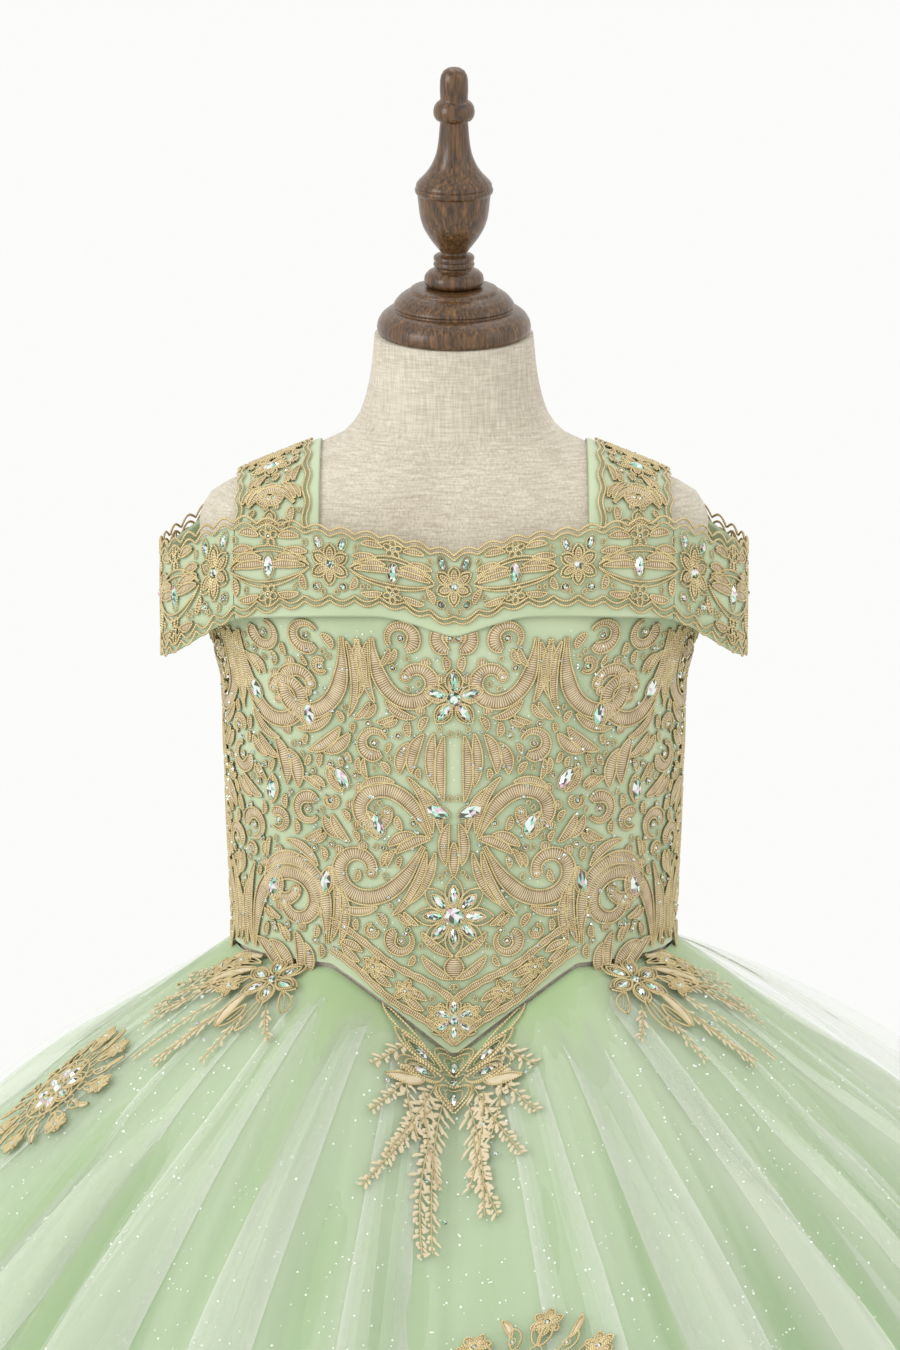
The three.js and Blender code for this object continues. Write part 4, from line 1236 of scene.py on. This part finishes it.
strap_fills, strap_cords = Stitching(), Stitching()
for side, name in ((1, "left"), (-1, "right")):
    across, out = np.array(STRAP_SECTION).T
    up, over = np.meshgrid(np.linspace(0, STRAP_LONG, 70), across * STRAP_WIDE, indexing="ij")
    points, normals = strap_ground(side, 0.0)(over, up)
    pile = Stitching()
    pile.add_grid(points + normals * out[:, None], shade=0.95)
    strap = pile.make(f"satin_strap_{name}", SATIN, slot="satin")
    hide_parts(f"strap_{name}")
    sew(strap_design(), strap_ground(side, 1.7), strap_fills, strap_cords, stones, mirrored=False)
strap_fills.make("strap_stitching", FILL, slot="lace")
strap_cords.make("strap_cords", CORD, slot="lace")
print(f"straps are {STRAP_LONG:.0f} mm long")

# %% [markdown]
# ## The skirt
#
# The skirt is satin under gathered tulle. A cloth simulation of four metres of tulle is slow and would
# not keep the solids' outline. So all the layers share one dome: at a share `down` of the way from the
# seam to the hem, the section has spread by 1 - (1 - down)^2.6, mixed with a little straight flare, and
# `stand` lifts a point off that dome along its normal.

# %% The dome of the skirt
SKIRT_RADIUS, SKIRT_SPREAD, SKIRT_FLARE, SKIRT_SEAM_DROP = 500, 2.6, 0.22, 3.6


def skirt_point(angle, down, stand):
    """A point of the skirt at an angle and a share of the way down."""
    angle, down, stand = np.broadcast_arrays(np.asarray(angle, float), down, stand)
    top = bodice_bottom(angle) - SKIRT_SEAM_DROP
    start = body_point(angle, top, FIT_GAP)
    out = np.stack([np.cos(angle), np.sin(angle)], axis=-1)
    run = out * SKIRT_RADIUS - start[..., :2]
    spread = lerp(1 - (1 - down) ** SKIRT_SPREAD, down, SKIRT_FLARE)
    widening = lerp(SKIRT_SPREAD * (1 - down) ** (SKIRT_SPREAD - 1), 1, SKIRT_FLARE)
    steep = np.linalg.norm(run, axis=-1) * widening
    fall = top - HEM
    slope = np.hypot(fall, steep)
    flat = start[..., :2] + run * spread[..., None] + (stand * fall / slope)[..., None] * out
    z = top - fall * down + stand * steep / slope
    return np.concatenate([flat, z[..., None]], axis=-1)


# %% [markdown]
# Gathered tulle is never even. The tulle has 36 uneven gathers, and over them a few large soft folds:
# each starts at one angle at the waist and drifts to another at the hem. Noise would
# give lumps that don't run down the cloth as folds do. Where lace lies on the tulle it holds it flat.

# %% Folds of the tulle
LACE_PLACES = {
    # angle at the top, at the foot, share down at the top, at the foot, half width in degrees
    "lace_point_spray": (-90, -94, 0.008, 0.115, 15),
    "lace_waist_spray_left": (-44, -33, 0.008, 0.1, 16),
    "lace_waist_spray_right": (-136, -145, 0.008, 0.1, 16),
    "lace_medallion_front": (-84, -83, 0.165, 0.29, 9),
    "lace_medallion_side": (-164, -166, 0.07, 0.175, 9),
}
HELD_REACH = 1.4
BIG_FOLDS = [
    # angle at the waist, at the hem, height, half width in degrees, where it starts
    (-64, -34, 17, 4.2, 0.004),
    (-71, -55, 13, 3.4, 0.01),
    (-79, -74, 11, 3.6, 0.03),
    (-101, -106, 10, 4.0, 0.05),
    (-109, -121, 13, 4.0, 0.01),
    (-118, -139, 15, 4.4, 0.004),
    (-129, -158, 10, 4.2, 0.02),
    (-152, -171, 13, 4.6, 0.01),
    (-168, -184, 11, 4.2, 0.02),
    (-48, -20, 12, 4.4, 0.02),
    (-27, -4, 14, 4.6, 0.01),
    (-12, 8, 10, 4.0, 0.02),
]


def turned_apart(angle, degrees_from):
    """How many degrees an angle in radians lies from another in degrees, from -180 to 180."""
    return (np.degrees(angle) - degrees_from + 180) % 360 - 180


def looseness(angle, down):
    """1 where the tulle is free and 0 under the middle of a piece of lace."""
    share = np.ones(np.broadcast(angle, down).shape)
    for top, foot, start, end, half in LACE_PLACES.values():
        aside = turned_apart(angle, (top + foot) / 2) / half / HELD_REACH
        along = (2 * down - start - end) / (end - start) / HELD_REACH
        share = share * (1 - np.exp(-((along**2 + aside**2) ** 2)))
    return share


def big_folds(angle, down):
    """The sum of soft ridges, each steeper on one side: height e^(-x^2) (1 + tanh(2x)/3)."""
    total = np.zeros(np.broadcast(angle, down).shape)
    for half_turn in (0, 180):
        for waist, hem, height, half, start in BIG_FOLDS:
            middle = lerp(waist, hem, down**0.55) + half_turn
            x = turned_apart(angle, middle) / (half * (0.5 + 0.5 * down**0.4))
            grown = smoothstep(start, start + 0.22, down)
            total += height * grown * np.exp(-(x**2)) * (1 + np.tanh(2 * x) / 3)
    return total


def tulle_stand(angle, down):
    """How far the outer tulle stands off the dome."""
    mean = lerp(1.6, 21, 1 - np.exp(-down / 0.25))
    uneven = 1 + 0.22 * np.sin(5 * angle + 1) + 0.16 * np.sin(3 * angle)
    swing = 36 * angle + 1.1 * np.sin(4 * angle + 0.5) + 0.5 * np.sin(9 * angle + 5 * down)
    gathers = 7.5 * (1 - np.exp(-down / 0.2)) * uneven * np.cos(swing)
    fine = 1.1 * np.sin(97 * angle + 7 * down) * np.exp(-down / 0.25) + 0.5 * np.sin(151 * angle - 11 * down)
    free = looseness(angle, down)
    return mean + free * (gathers + big_folds(angle, down) - 4 + fine * (1 - np.exp(-down / 0.03)))


def inner_stand(angle, down):
    """The tulle between the satin and the outer layer, with its own gathers."""
    mean = lerp(1.3, 11, 1 - np.exp(-down / 0.25))
    return mean + 3.5 * (1 - np.exp(-down / 0.15)) * np.cos(29 * angle + 1.7 * np.sin(3 * angle) + 4 * down)


def satin_stand(angle, down):
    return 0.6 + 3 * np.sqrt(down) * np.cos(12 * angle)


def veil_stand(angle, down):
    """The outermost veil. It puffs most at the wearer's left, and lies close under lace."""
    left = smoothstep(-0.2, 1.0, np.cos(angle))
    puff = lerp(3, 19, left) + lerp(1.5, 4, left) * np.sin(7 * angle + 1.2 + 2 * down)
    return tulle_stand(angle, down) + 0.8 + puff * looseness(angle, down) * (1 - np.exp(-down / 0.06))


# %% [markdown]
# Seen through each other, the layers make the soft stripes of a tulle skirt: green satin, a tulle with
# its own gathers, the outer tulle in four gores, and a veil that stands off it. One function makes every
# layer from its stand. It stores how steep the cloth is as its shade, because tulle seen on edge is
# denser and so lighter, and adds painted light on the crests of the folds and painted shade in their
# valleys, on the satin as on the tulle.

# %% Skirt layers
def cloth_cut(grid):
    """The flat cut of a panel: its widest row, its longest column and its surface, in metres."""
    rows = np.linalg.norm(np.diff(grid, axis=1), axis=2).sum(axis=1)
    columns = np.linalg.norm(np.diff(grid, axis=0), axis=2).sum(axis=0)
    across, down = grid[1:, 1:] - grid[:-1, :-1], grid[1:, :-1] - grid[:-1, 1:]
    area = np.linalg.norm(np.cross(across, down), axis=2).sum() / 2
    width, length = rows.max() * MM, columns.max() * MM
    return width, length, min(area * MM * MM, width * length)


def skirt_layer(name, first, last, stand_at, material, slot, columns, node, rows=54):
    """One panel of a layer between two angles, with its shade taken from how steep its folds are, plus
    painted light on their crests and painted shade in their valleys.
    """
    v, u = grid_uv(rows, columns)
    down = v**1.6
    angle = np.radians(lerp(first, last, u))
    stand = stand_at(angle, down)
    grid = skirt_point(angle, down, stand)
    width = np.linalg.norm(np.gradient(grid, axis=1), axis=2)
    steepness = np.abs(np.gradient(stand, axis=1)) / np.maximum(width, 0.1)
    # Painted light and shade: fold crests lighter and valleys darker, except where lace holds the cloth flat.
    painted_fold_shade = looseness(angle, down) * (stand - stand.mean(axis=1, keepdims=True)) / (3 + 13 * np.sqrt(down))
    waist = 0.3 * np.exp(-down / 0.12)
    shade = np.clip(0.4 + waist + 0.6 * painted_fold_shade + 0.3 * steepness, 0, 1)
    pile = Stitching()
    pile.add_grid(grid, np.stack([u, v], axis=-1), shade=shade)
    made = pile.make(name, material, slot=slot)
    if node:
        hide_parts(node)
    wide, long, area = cloth_cut(grid)
    return wide, long, area


LAYERS = [
    # name, first angle, last angle, stand, material, slot, columns, CAD node
    ("satin_skirt_front", -180, 0, satin_stand, SKIRT_SATIN, "satin", 120, "underskirt_front"),
    ("satin_skirt_back", 0, 180, satin_stand, SKIRT_SATIN, "satin", 120, "underskirt_back"),
    ("inner_tulle_front", -180, 0, inner_stand, TULLE_INNER, "tulle", 260, None),
    ("inner_tulle_back", 0, 180, inner_stand, TULLE_INNER, "tulle", 260, None),
    ("tulle_skirt_front", -135, -45, tulle_stand, TULLE_OUTER, "tulle", 260, "tulle_front"),
    ("tulle_skirt_left", -45, 45, tulle_stand, TULLE_OUTER, "tulle", 260, "tulle_left"),
    ("tulle_skirt_back", 45, 135, tulle_stand, TULLE_OUTER, "tulle", 260, "tulle_back"),
    ("tulle_skirt_right", 135, 225, tulle_stand, TULLE_OUTER, "tulle", 260, "tulle_right"),
    ("veil_front", -180, 0, veil_stand, VEIL, "tulle", 300, None),
    ("veil_back", 0, 180, veil_stand, VEIL, "tulle", 300, None),
]
for name, first, last, stand_at, material, slot, columns, node in LAYERS:
    wide, long, area = skirt_layer(name, first, last, stand_at, material, slot, columns, node)
    print(f"{name}: cut {wide:.2f} x {long:.2f} m, {area:.3f} m2")

# %% [markdown]
# Where the outer tulle doubles over itself it shows as a long pale band with one sharp edge. Painting
# the bands into the material would blur that edge. So each band is three thin strips that share the
# sharp edge and end one after another, and it fades towards its other side.

# %% Overlaps of the tulle
OVERLAP_BANDS = [
    # angle of the sharp edge at the waist, at the hem, width in degrees at the waist, at the hem
    (-47, -27, 0.8, 6.0), (-53, -38, -3.0, -5.0), (-58, -44, 3.4, 7.0), (-65, -53, -3.6, -4.5),
    (-71, -60, 4.0, 6.0), (-76, -70, -2.2, -4.0), (-83, -78, 1.2, 4.5), (-95, -92, -1.4, -5.0),
    (-101, -103, 1.2, 5.0),
    (-107, -112, -2.4, -5.5), (-112, -121, 3.0, 4.5), (-118, -129, -2.6, -6.0), (-123, -139, 1.0, 5.0),
    (-129, -148, -1.4, -6.5), (-140, -160, 1.2, 6.0), (-152, -172, -1.2, -6.0), (-166, -185, 1.2, 5.0),
    (-36, -14, -1.0, -5.0), (-27, -4, 1.2, 6.5), (-15, 7, -1.2, -5.5),
]
overlaps = Stitching()
v, u = grid_uv(56, 2)
down = v**1.5
for half_turn in (0, 180):
    for k, (waist, hem, narrow, wide) in enumerate(OVERLAP_BANDS):
        edge = lerp(waist, hem, down**0.6) + 1.3 * np.sin(6 * down + 2.4 * k + half_turn) * np.sqrt(down)
        for share in (1.0, 0.6, 0.3):
            angle = np.radians(half_turn + edge + share * u * lerp(narrow, wide, np.sqrt(down)))
            grid = skirt_point(angle, down, tulle_stand(angle, down) + 0.7 + 0.4 * (1 - share))
            overlaps.add_grid(grid, np.stack([u, v], axis=-1), shade=1 - 0.5 * u)
overlaps = overlaps.make("tulle_overlaps", OVERLAPS, slot="tulle")

# %% [markdown]
# ## Lace on the skirt
#
# Cut-out lace is sewn on the tulle: a spray of ferns under the point and at each hip, and round motifs
# lower down. It could be a texture on the tulle, but its cord stands up and throws small shadows. It is
# drawn with the same motifs as the bodice's, on a ground measured along the meridian from the waist
# seam: x runs to the wearer's left and y is minus the distance down.

# %% Ferns and stone flowers
LACE_LIFT = 2.6


def from_skirt_middle(points):
    """Away from a spot inside the skirt."""
    return points - [0, 0, 400]


def skirt_ground(middle, lift=LACE_LIFT):
    """Flat points round one meridian, given by its angle in degrees."""
    downs = np.linspace(0, 1, 800)
    line = skirt_point(math.radians(middle), downs, 0)
    lengths, radii = run_of(line), np.linalg.norm(line[:, :2], axis=1)

    def place(across, up):
        down = np.interp(-np.asarray(up), lengths, downs)
        angle = math.radians(middle) + across / np.interp(down, downs, radii)
        return skirt_point(angle, down, tulle_stand(angle, down) + lift)

    return lambda across, up: with_normals(place, across, up, from_skirt_middle)


def fern(pattern, across, up, heading, long, turn=0.0, leaf=6.0):
    """A thin stem with pairs of small separate leaves that shorten towards its tip."""
    stem = curl_line(across, up, heading, long, turn, 1.0, step=1.6)
    pattern.cords.append((stem, 0.35, False))
    pattern.take(stem, 2.0)
    for k in range(2, len(stem) - 1, 2):
        share = k / len(stem)
        way = stem[k] - stem[k - 1]
        way = math.degrees(math.atan2(way[1], way[0]))
        for side in (1, -1):
            size = leaf * (1 - 0.45 * share) * (0.8 + 0.3 * math.sin(2.3 * k + side))
            root = stem[k] + 0.6 * side * (k % 4 == 0)
            spread = side * (42 + 12 * math.sin(1.7 * k))
            line = curl_line(*root, way + spread, size, -side * 30, 1.0, step=1.5)
            pattern.fills.append((line, leaf_widths(len(line), 1.6), False))
            pattern.take(line, 0.8)


def stone_flower(pattern, across, up, radius, petals, turn):
    """A flower whose petals are navette stones in doubled loops of cord."""
    for k in range(petals):
        way = turn + 360 * k / petals
        spot = toward(way)
        for share in (0.9, 0.74):
            root = spot * radius * 0.2 + [across, up]
            pattern.leaf(*root, way, radius * share, 0, radius * share * 0.62, filled=False)
        pattern.stone(*([across, up] + spot * radius * 0.58), "navette", radius * 0.12, way)
    pattern.stone(across, up, "round", radius * 0.15)
    pattern.take(np.array([[across, up]]), radius)


# %% [markdown]
# The sprays are tables of ferns and leaves: where each starts, its heading, how long it is and how it
# turns. A particle system would place them by chance, and a spray has to fall to a point.

# %% Sprays and medallions
POINT_FERNS = [
    # across, up, heading, long, turn, drawn on both sides
    (14, -14, 22, 30, -14),
    (10, -20, 14, 52, -18),
    (15, -26, 4, 44, 16),
    (5, -28, 12, 64, -12),
    (9, -38, 2, 56, 12),
]
MIDDLE_FERNS = [
    # across, up, heading, long, turn
    (-2, -30, -98, 104, 10),
    (4, -40, -80, 74, -10),
    (-6, -44, -108, 74, -10),
    (6, -60, -88, 58, 16),
    (-8, -70, -100, 66, 14),
]
WAIST_LEAVES = [
    # across, up, heading, long, turn, whether filled
    (12, -6, 4, 42, -40, False),
    (12, -10, -16, 36, -30, True),
    (10, -16, -38, 30, 34, False),
    (3, -26, -70, 26, -30, True),
    (-8, -28, -104, 24, 30, False),
    (-16, -22, -140, 16, 40, False),
    (16, -2, 14, 30, -50, True),
    (22, -16, -24, 26, -30, False),
    (-2, -34, -84, 18, 30, False),
    (30, -14, -8, 24, -40, False),
]
WAIST_FERNS = [
    # across, up, heading, long, turn
    (26, -16, -28, 66, -14),
    (24, -22, -40, 62, 10),
    (16, -30, -54, 62, -10),
    (8, -36, -70, 50, 14),
    (-4, -38, -92, 36, 10),
    (34, -10, -16, 50, -16),
    (-14, -32, -116, 26, -20),
    (38, -26, -34, 46, 14),
    (12, -44, -62, 42, -16),
    (46, -20, -22, 38, -12),
    (44, -38, -42, 34, -16),
]


def point_spray():
    """The flower and ferns below the basque point."""
    p = Pattern()
    stone_flower(p, 0, -20, 19, 6, 90)
    for side in (1, -1):
        p.leaf(side * 8, -9, 90 - side * 74, 17, side * 40, 6, filled=False)
        p.leaf(side * 9, -30, -90 + side * 34, 18, side * 40, 5)
        for across, up, heading, long, turn in POINT_FERNS:
            fern(p, side * across, up, -90 + side * heading, long, -side * turn)
    for row in MIDDLE_FERNS:
        fern(p, *row, 7)
    for across, up in ((-12, -62), (9, -58), (-22, -44), (24, -40), (-9, -92), (14, -80), (-3, -112)):
        p.stone(across, up, "bead", 1.3)
    return p


def waist_spray():
    """The flower, leaves and ferns that fall from the waist to one side."""
    p = Pattern()
    stone_flower(p, -4, -15, 16, 6, 70)
    for across, up, heading, long, turn, filled in WAIST_LEAVES:
        p.leaf(across, up, heading, long, turn, 6.0, vein=True, filled=filled)
    for across, up in ((31, -7), (20, -25), (46, -14)):
        p.blossom(across, up, 7.5, 5, 30)
    for row in WAIST_FERNS:
        fern(p, *row)
    for across, up in ((34, -36), (46, -30), (20, -52), (58, -52), (6, -60), (38, -62)):
        p.stone(across, up, "bead", 1.3)
    return p


def medallion():
    """A flower of stones inside rings of open loops, leaves and small flowers, with its middle at 0, 0."""
    p = Pattern()
    stone_flower(p, 0, 0, 19, 8, 90)
    p.ring((0, 0), 20.5, cord=0.6)
    for k in range(16):
        way = 22.5 * k
        spot = toward(way)
        p.ring(spot * 23.5, 2.8)
        p.leaf(*(spot * 26), way - 24, 12, 44, 5.0, filled=False)
        if k % 2:
            p.leaf(*(spot * 26), way + 30, 15, -50, 4.2, filled=False)
            p.blossom(*(spot * 38), 6.5, 6, way)
        else:
            p.stone(*(spot * 31), "round", 1.4)
            p.leaf(*(spot * 33), way, 12, 30, 2.6)
    return p


def shifted(pattern, across, up):
    """The same pattern moved over the cloth."""
    moved = Pattern()
    moved.fills = [(line + [across, up], half, centred) for line, half, centred in pattern.fills]
    moved.cords = [(line + [across, up], radius, centred) for line, radius, centred in pattern.cords]
    moved.stones = [(x + across, y + up, *rest) for x, y, *rest in pattern.stones]
    return moved


def flipped(pattern):
    """The same pattern mirrored."""
    turned_over = Pattern()
    turned_over.fills = [(line * [-1, 1], half, centred) for line, half, centred in pattern.fills]
    turned_over.cords = [(line * [-1, 1], radius, centred) for line, radius, centred in pattern.cords]
    turned_over.stones = [
        (-x, y, kind, size, 180 - turn, centred) for x, y, kind, size, turn, centred in pattern.stones
    ]
    return turned_over


SKIRT_LACE = [
    # pattern, angle of its meridian, how far down its middle lies
    (point_spray(), -90, 0),
    (waist_spray(), -44, 0),
    (flipped(waist_spray()), -136, 0),
    (medallion(), -84.5, -222),
    (medallion(), -165, -116),
]
skirt_fills, skirt_cords = Stitching(), Stitching()
for pattern, middle, distance in SKIRT_LACE:
    sew(shifted(pattern, 0, distance), skirt_ground(middle), skirt_fills, skirt_cords, stones, mirrored=False)
skirt_fills.make("skirt_stitching", SPRIG, slot="lace")
skirt_lace = skirt_cords.make("skirt_cords", CORD, slot="lace")
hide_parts(*LACE_PLACES)
print(f"skirt lace: {skirt_cords.count} points in the cords, {skirt_fills.count} in the stitching")

# %% [markdown]
# ## Stones and glitter
#
# A cut stone glitters because its facets show different parts of a room. Glass would need many light
# bounces and a busy room to do the same. So a stone is a solid ring of facets that rises from its girdle
# to a flat table, and each facet takes one of four colours by chance: a clear mirror, a painted dark
# reflection, and painted aqua and rose flashes.

# %% Stones
STONE_SIDES = 8
FACET_SHARES = (0.46, 0.26, 0.17, 0.11)  # clear, painted dark reflection, painted aqua flash, painted rose flash
STONE_SHAPES = {
    # how long the outline is beside its half width, and how pointed
    "round": (1.0, 1.0),
    "navette": (1.9, 1.35),
    "drop": (1.7, 1.2),
    "bead": (1.0, 1.0),
}


def stone_form(kind):
    """Points and triangles of a stone of half width 1: three rings of points and a middle one."""
    long, pointed = STONE_SHAPES[kind]
    around = np.linspace(0, 2 * np.pi, STONE_SIDES, endpoint=False)
    x = long * np.cos(around)
    y = signed_power(np.sin(around), pointed)
    levels = [(0.85, 0.15), (1.0, 0.45), (0.55, 0.95)]
    rings = [np.stack([x * s, y * s, np.full_like(x, h)], axis=1) for s, h in levels]
    points = np.concatenate([*rings, [[0, 0, 0.98]]])
    k = np.arange(STONE_SIDES)
    after = (k + 1) % STONE_SIDES
    faces = []
    for low in (0, STONE_SIDES):
        a, b = low + k, low + after
        c, d = b + STONE_SIDES, a + STONE_SIDES
        faces += [np.stack([a, b, c], axis=1), np.stack([a, c, d], axis=1)]
    top = 2 * STONE_SIDES
    faces.append(np.stack([top + k, top + after, np.full_like(k, 3 * STONE_SIDES)], axis=1))
    return points, np.concatenate(faces)


def make_stones():
    """All the stones as one mesh, with a colour for each facet, over half of them painted reflections and
    flashes.
    """
    pile = Stitching()
    for kind in STONE_SHAPES:
        shape, faces = stone_form(kind)
        chosen = [s for s in stones if s[2] == kind]
        middles = np.array([s[0] for s in chosen])
        axes = np.array([s[1] for s in chosen])
        sizes = np.array([s[3] for s in chosen])
        points = np.einsum("pk,skc->spc", shape, axes) * sizes[:, None, None] + middles[:, None]
        shifts = np.arange(len(chosen)) * len(shape)
        pile.add_faces(points, (faces[None] + shifts[:, None, None]).reshape(-1, 3))
    made = pile.make("stones", STONE_FACETS[0], smooth=False)
    for material in STONE_FACETS[1:]:
        made.data.materials.append(material)
    # All but the clear facets get painted dark reflections and painted aqua and rose flashes.
    facet_reflection = rng.choice(4, len(made.data.polygons), p=FACET_SHARES).astype(np.int32)
    made.data.polygons.foreach_set("material_index", facet_reflection)


def lifted(ground, across, up, height):
    points, normals = ground(across, up)
    return points + normals * height, normals


def loose_beads(count=520):
    """Small stones scattered on the lace of the bodice."""
    ground = bodice_ground()
    for _ in range(count):
        across, z = rng.uniform(-290, 290), rng.uniform(704, 862)
        size = rng.uniform(0.7, 1.1)
        stones.append(placed_stone(lambda x, y: lifted(ground, x, y, 0.9), across, z, "bead", size, 0))


loose_beads()
make_stones()
print(f"{len(stones)} stones and beads")

# %% [markdown]
# The tulle and the satin are dusted with glitter: flakes of about a millimetre that flash one by one. A
# noise texture can't flash, because it has no faces of its own. Each flake is a real square, tilted a
# little by chance, and nearly white, so that it also shows as a painted glint from most sides.

# %% Glitter
def glitter_flakes(pile, points, normals, low, high):
    """Small square flakes, each tilted by chance."""
    count = len(points)
    spin = rng.normal(size=(count, 3))
    out = unit(normals + 0.55 * unit(rng.normal(size=(count, 3))))
    along = unit(np.cross(spin, out))
    aside = np.cross(out, along)
    size = rng.uniform(low, high, (count, 1)) / 2
    corners = [points + size * (i * along + j * aside) for i, j in ((-1, -1), (1, -1), (1, 1), (-1, 1))]
    pile.add_faces(np.stack(corners, axis=1), np.arange(4 * count).reshape(count, 4))


SKIRT_FLAKES, BODICE_FLAKES = 17000, 3000
flakes = Stitching()
angle = rng.uniform(-np.pi, np.pi, SKIRT_FLAKES)
down = rng.uniform(0.0, 1.0, SKIRT_FLAKES) ** 0.9
on_tulle = skirt_point(angle, down, tulle_stand(angle, down) + 0.9)
glitter_flakes(flakes, on_tulle, unit(from_skirt_middle(on_tulle)), 0.45, 1.1)
across = rng.uniform(-HALF_ROUND, HALF_ROUND, BODICE_FLAKES)
z = rng.uniform(702, 870, BODICE_FLAKES)
glitter_flakes(flakes, *lifted(bodice_ground(), across, z, 0.25), 0.4, 0.7)
flakes.make("glitter", GLITTER, smooth=False)
print(f"{SKIRT_FLAKES + BODICE_FLAKES} glitter flakes")

# %% [markdown]
# ## The zip
#
# The gown closes with a zip in the centre back. Two rows of teeth take turns across the slit, each a
# small block on the tape. The slider and its pull tab are the CAD's own pieces, because the tab moves
# and its solid is already right; a bevel only softens their edges.

# %% Zip
def zip_strip(offset, half, rows=80):
    z = np.linspace(WAIST, TOP_BACK, rows)[:, None]
    reach = back_angle(half, z)
    return body_point(lerp(reach, np.pi - reach, np.linspace(0, 1, 5)[None, :]), z, offset)


pile = Stitching()
tape = zip_strip(FIT_GAP + 1.2, ZIP_TAPE_HALF)
pile.add_grid(tape, shade=0.8)
zip_tape = pile.make("zip_cloth", SATIN, slot="zip_tape")
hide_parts("zip_tape")

TOOTH_PITCH = 2.0
teeth_z = np.arange(WAIST + 3, 872, TOOTH_PITCH)
teeth_y = body_point(np.full_like(teeth_z, np.pi / 2), teeth_z, FIT_GAP + 1.5)[:, 1]
pile = Stitching()
ring = np.radians([45, 135, 225, 315])
for k, (y, z) in enumerate(zip(teeth_y, teeth_z)):
    start, end = (-1.7, 0.7) if k % 2 else (-0.7, 1.7)
    section = np.stack([0 * ring, 0.5 * np.cos(ring), 0.62 * np.sin(ring)], axis=1) + [0, y, z]
    pile.add_grid(np.stack([section + [start, 0, 0], section + [end, 0, 0]]), tube=True)
pile.make("zip_teeth", STEEL, smooth=False)
for node in ("zip_slider", "zip_pull_tab"):
    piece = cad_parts[node]
    piece.data.materials.clear()
    piece.data.materials.append(STEEL)
    soft = piece.modifiers.new("soft edges", "BEVEL")
    soft.width, soft.segments, soft.limit_method = 0.00025, 2, "ANGLE"

# %% [markdown]
# ## Light and camera
#
# The photo was taken in a bright white room. A white world gives nearly all the light, and three large
# soft lights, strongest from the left, give the folds their gentle shading. A long lens from far away
# and a little above gives the photo's flat perspective. The view transform is Standard, because Filmic
# or AgX would grey the whites.

# %% Light and camera
def soft_light(name, place, aim, size, power):
    lamp = bpy.data.lights.new(name, "AREA")
    lamp.shape, lamp.size, lamp.size_y, lamp.energy = "RECTANGLE", size[0], size[1], power
    made = bpy.data.objects.new(name, lamp)
    made.location = place
    made.rotation_euler = (Vector(aim) - Vector(place)).to_track_quat("-Z", "Y").to_euler()
    bpy.context.scene.collection.objects.link(made)


soft_light("left_window", (-2.4, -1.7, 1.9), (0, 0, 0.8), (1.2, 1.8), 30)
soft_light("right_window", (2.5, -1.2, 2.2), (0, 0, 0.7), (1.2, 2.0), 6)
soft_light("overhead", (0.2, 0.5, 2.9), (0, 0, 0.6), (2.0, 1.4), 8)

world = bpy.data.worlds.new("white room")
bpy.context.scene.world = world
world.use_nodes = True
world.node_tree.nodes["Background"].inputs["Color"].default_value = (1, 1, 0.985, 1)
world.node_tree.nodes["Background"].inputs["Strength"].default_value = 0.97
bpy.context.scene.view_settings.view_transform = "Standard"

FLOOR_RADIUS, FLOOR_SIDES = 1.5, 96
around = np.linspace(0, 2 * np.pi, FLOOR_SIDES, endpoint=False)
rim = FLOOR_RADIUS * np.stack([np.cos(around), np.sin(around), 0 * around], axis=1)
floor_mesh = bpy.data.meshes.new("pale_floor")
floor_mesh.from_pydata(rim.tolist(), [], [list(range(FLOOR_SIDES))])
floor_mesh.materials.append(Surface("pale_floor", srgb(244, 243, 238), 0.7).material)
floor = bpy.data.objects.new("pale_floor", floor_mesh)
bpy.context.scene.collection.objects.link(floor)

AIM = Vector((-0.002, 0, 0.834))
CAMERA_AWAY, CAMERA_RISE = 2.6, math.radians(10)
camera_data = bpy.data.cameras.new("camera")
camera_data.lens = 135.9
camera_data.sensor_width = 36
camera = bpy.data.objects.new("camera", camera_data)
camera.location = AIM + CAMERA_AWAY * Vector((0, -math.cos(CAMERA_RISE), math.sin(CAMERA_RISE)))
camera.rotation_euler = (AIM - camera.location).to_track_quat("-Z", "Y").to_euler()
bpy.context.scene.collection.objects.link(camera)
bpy.context.scene.camera = camera
print(f"camera {CAMERA_AWAY} m away with a {camera_data.lens} mm lens")
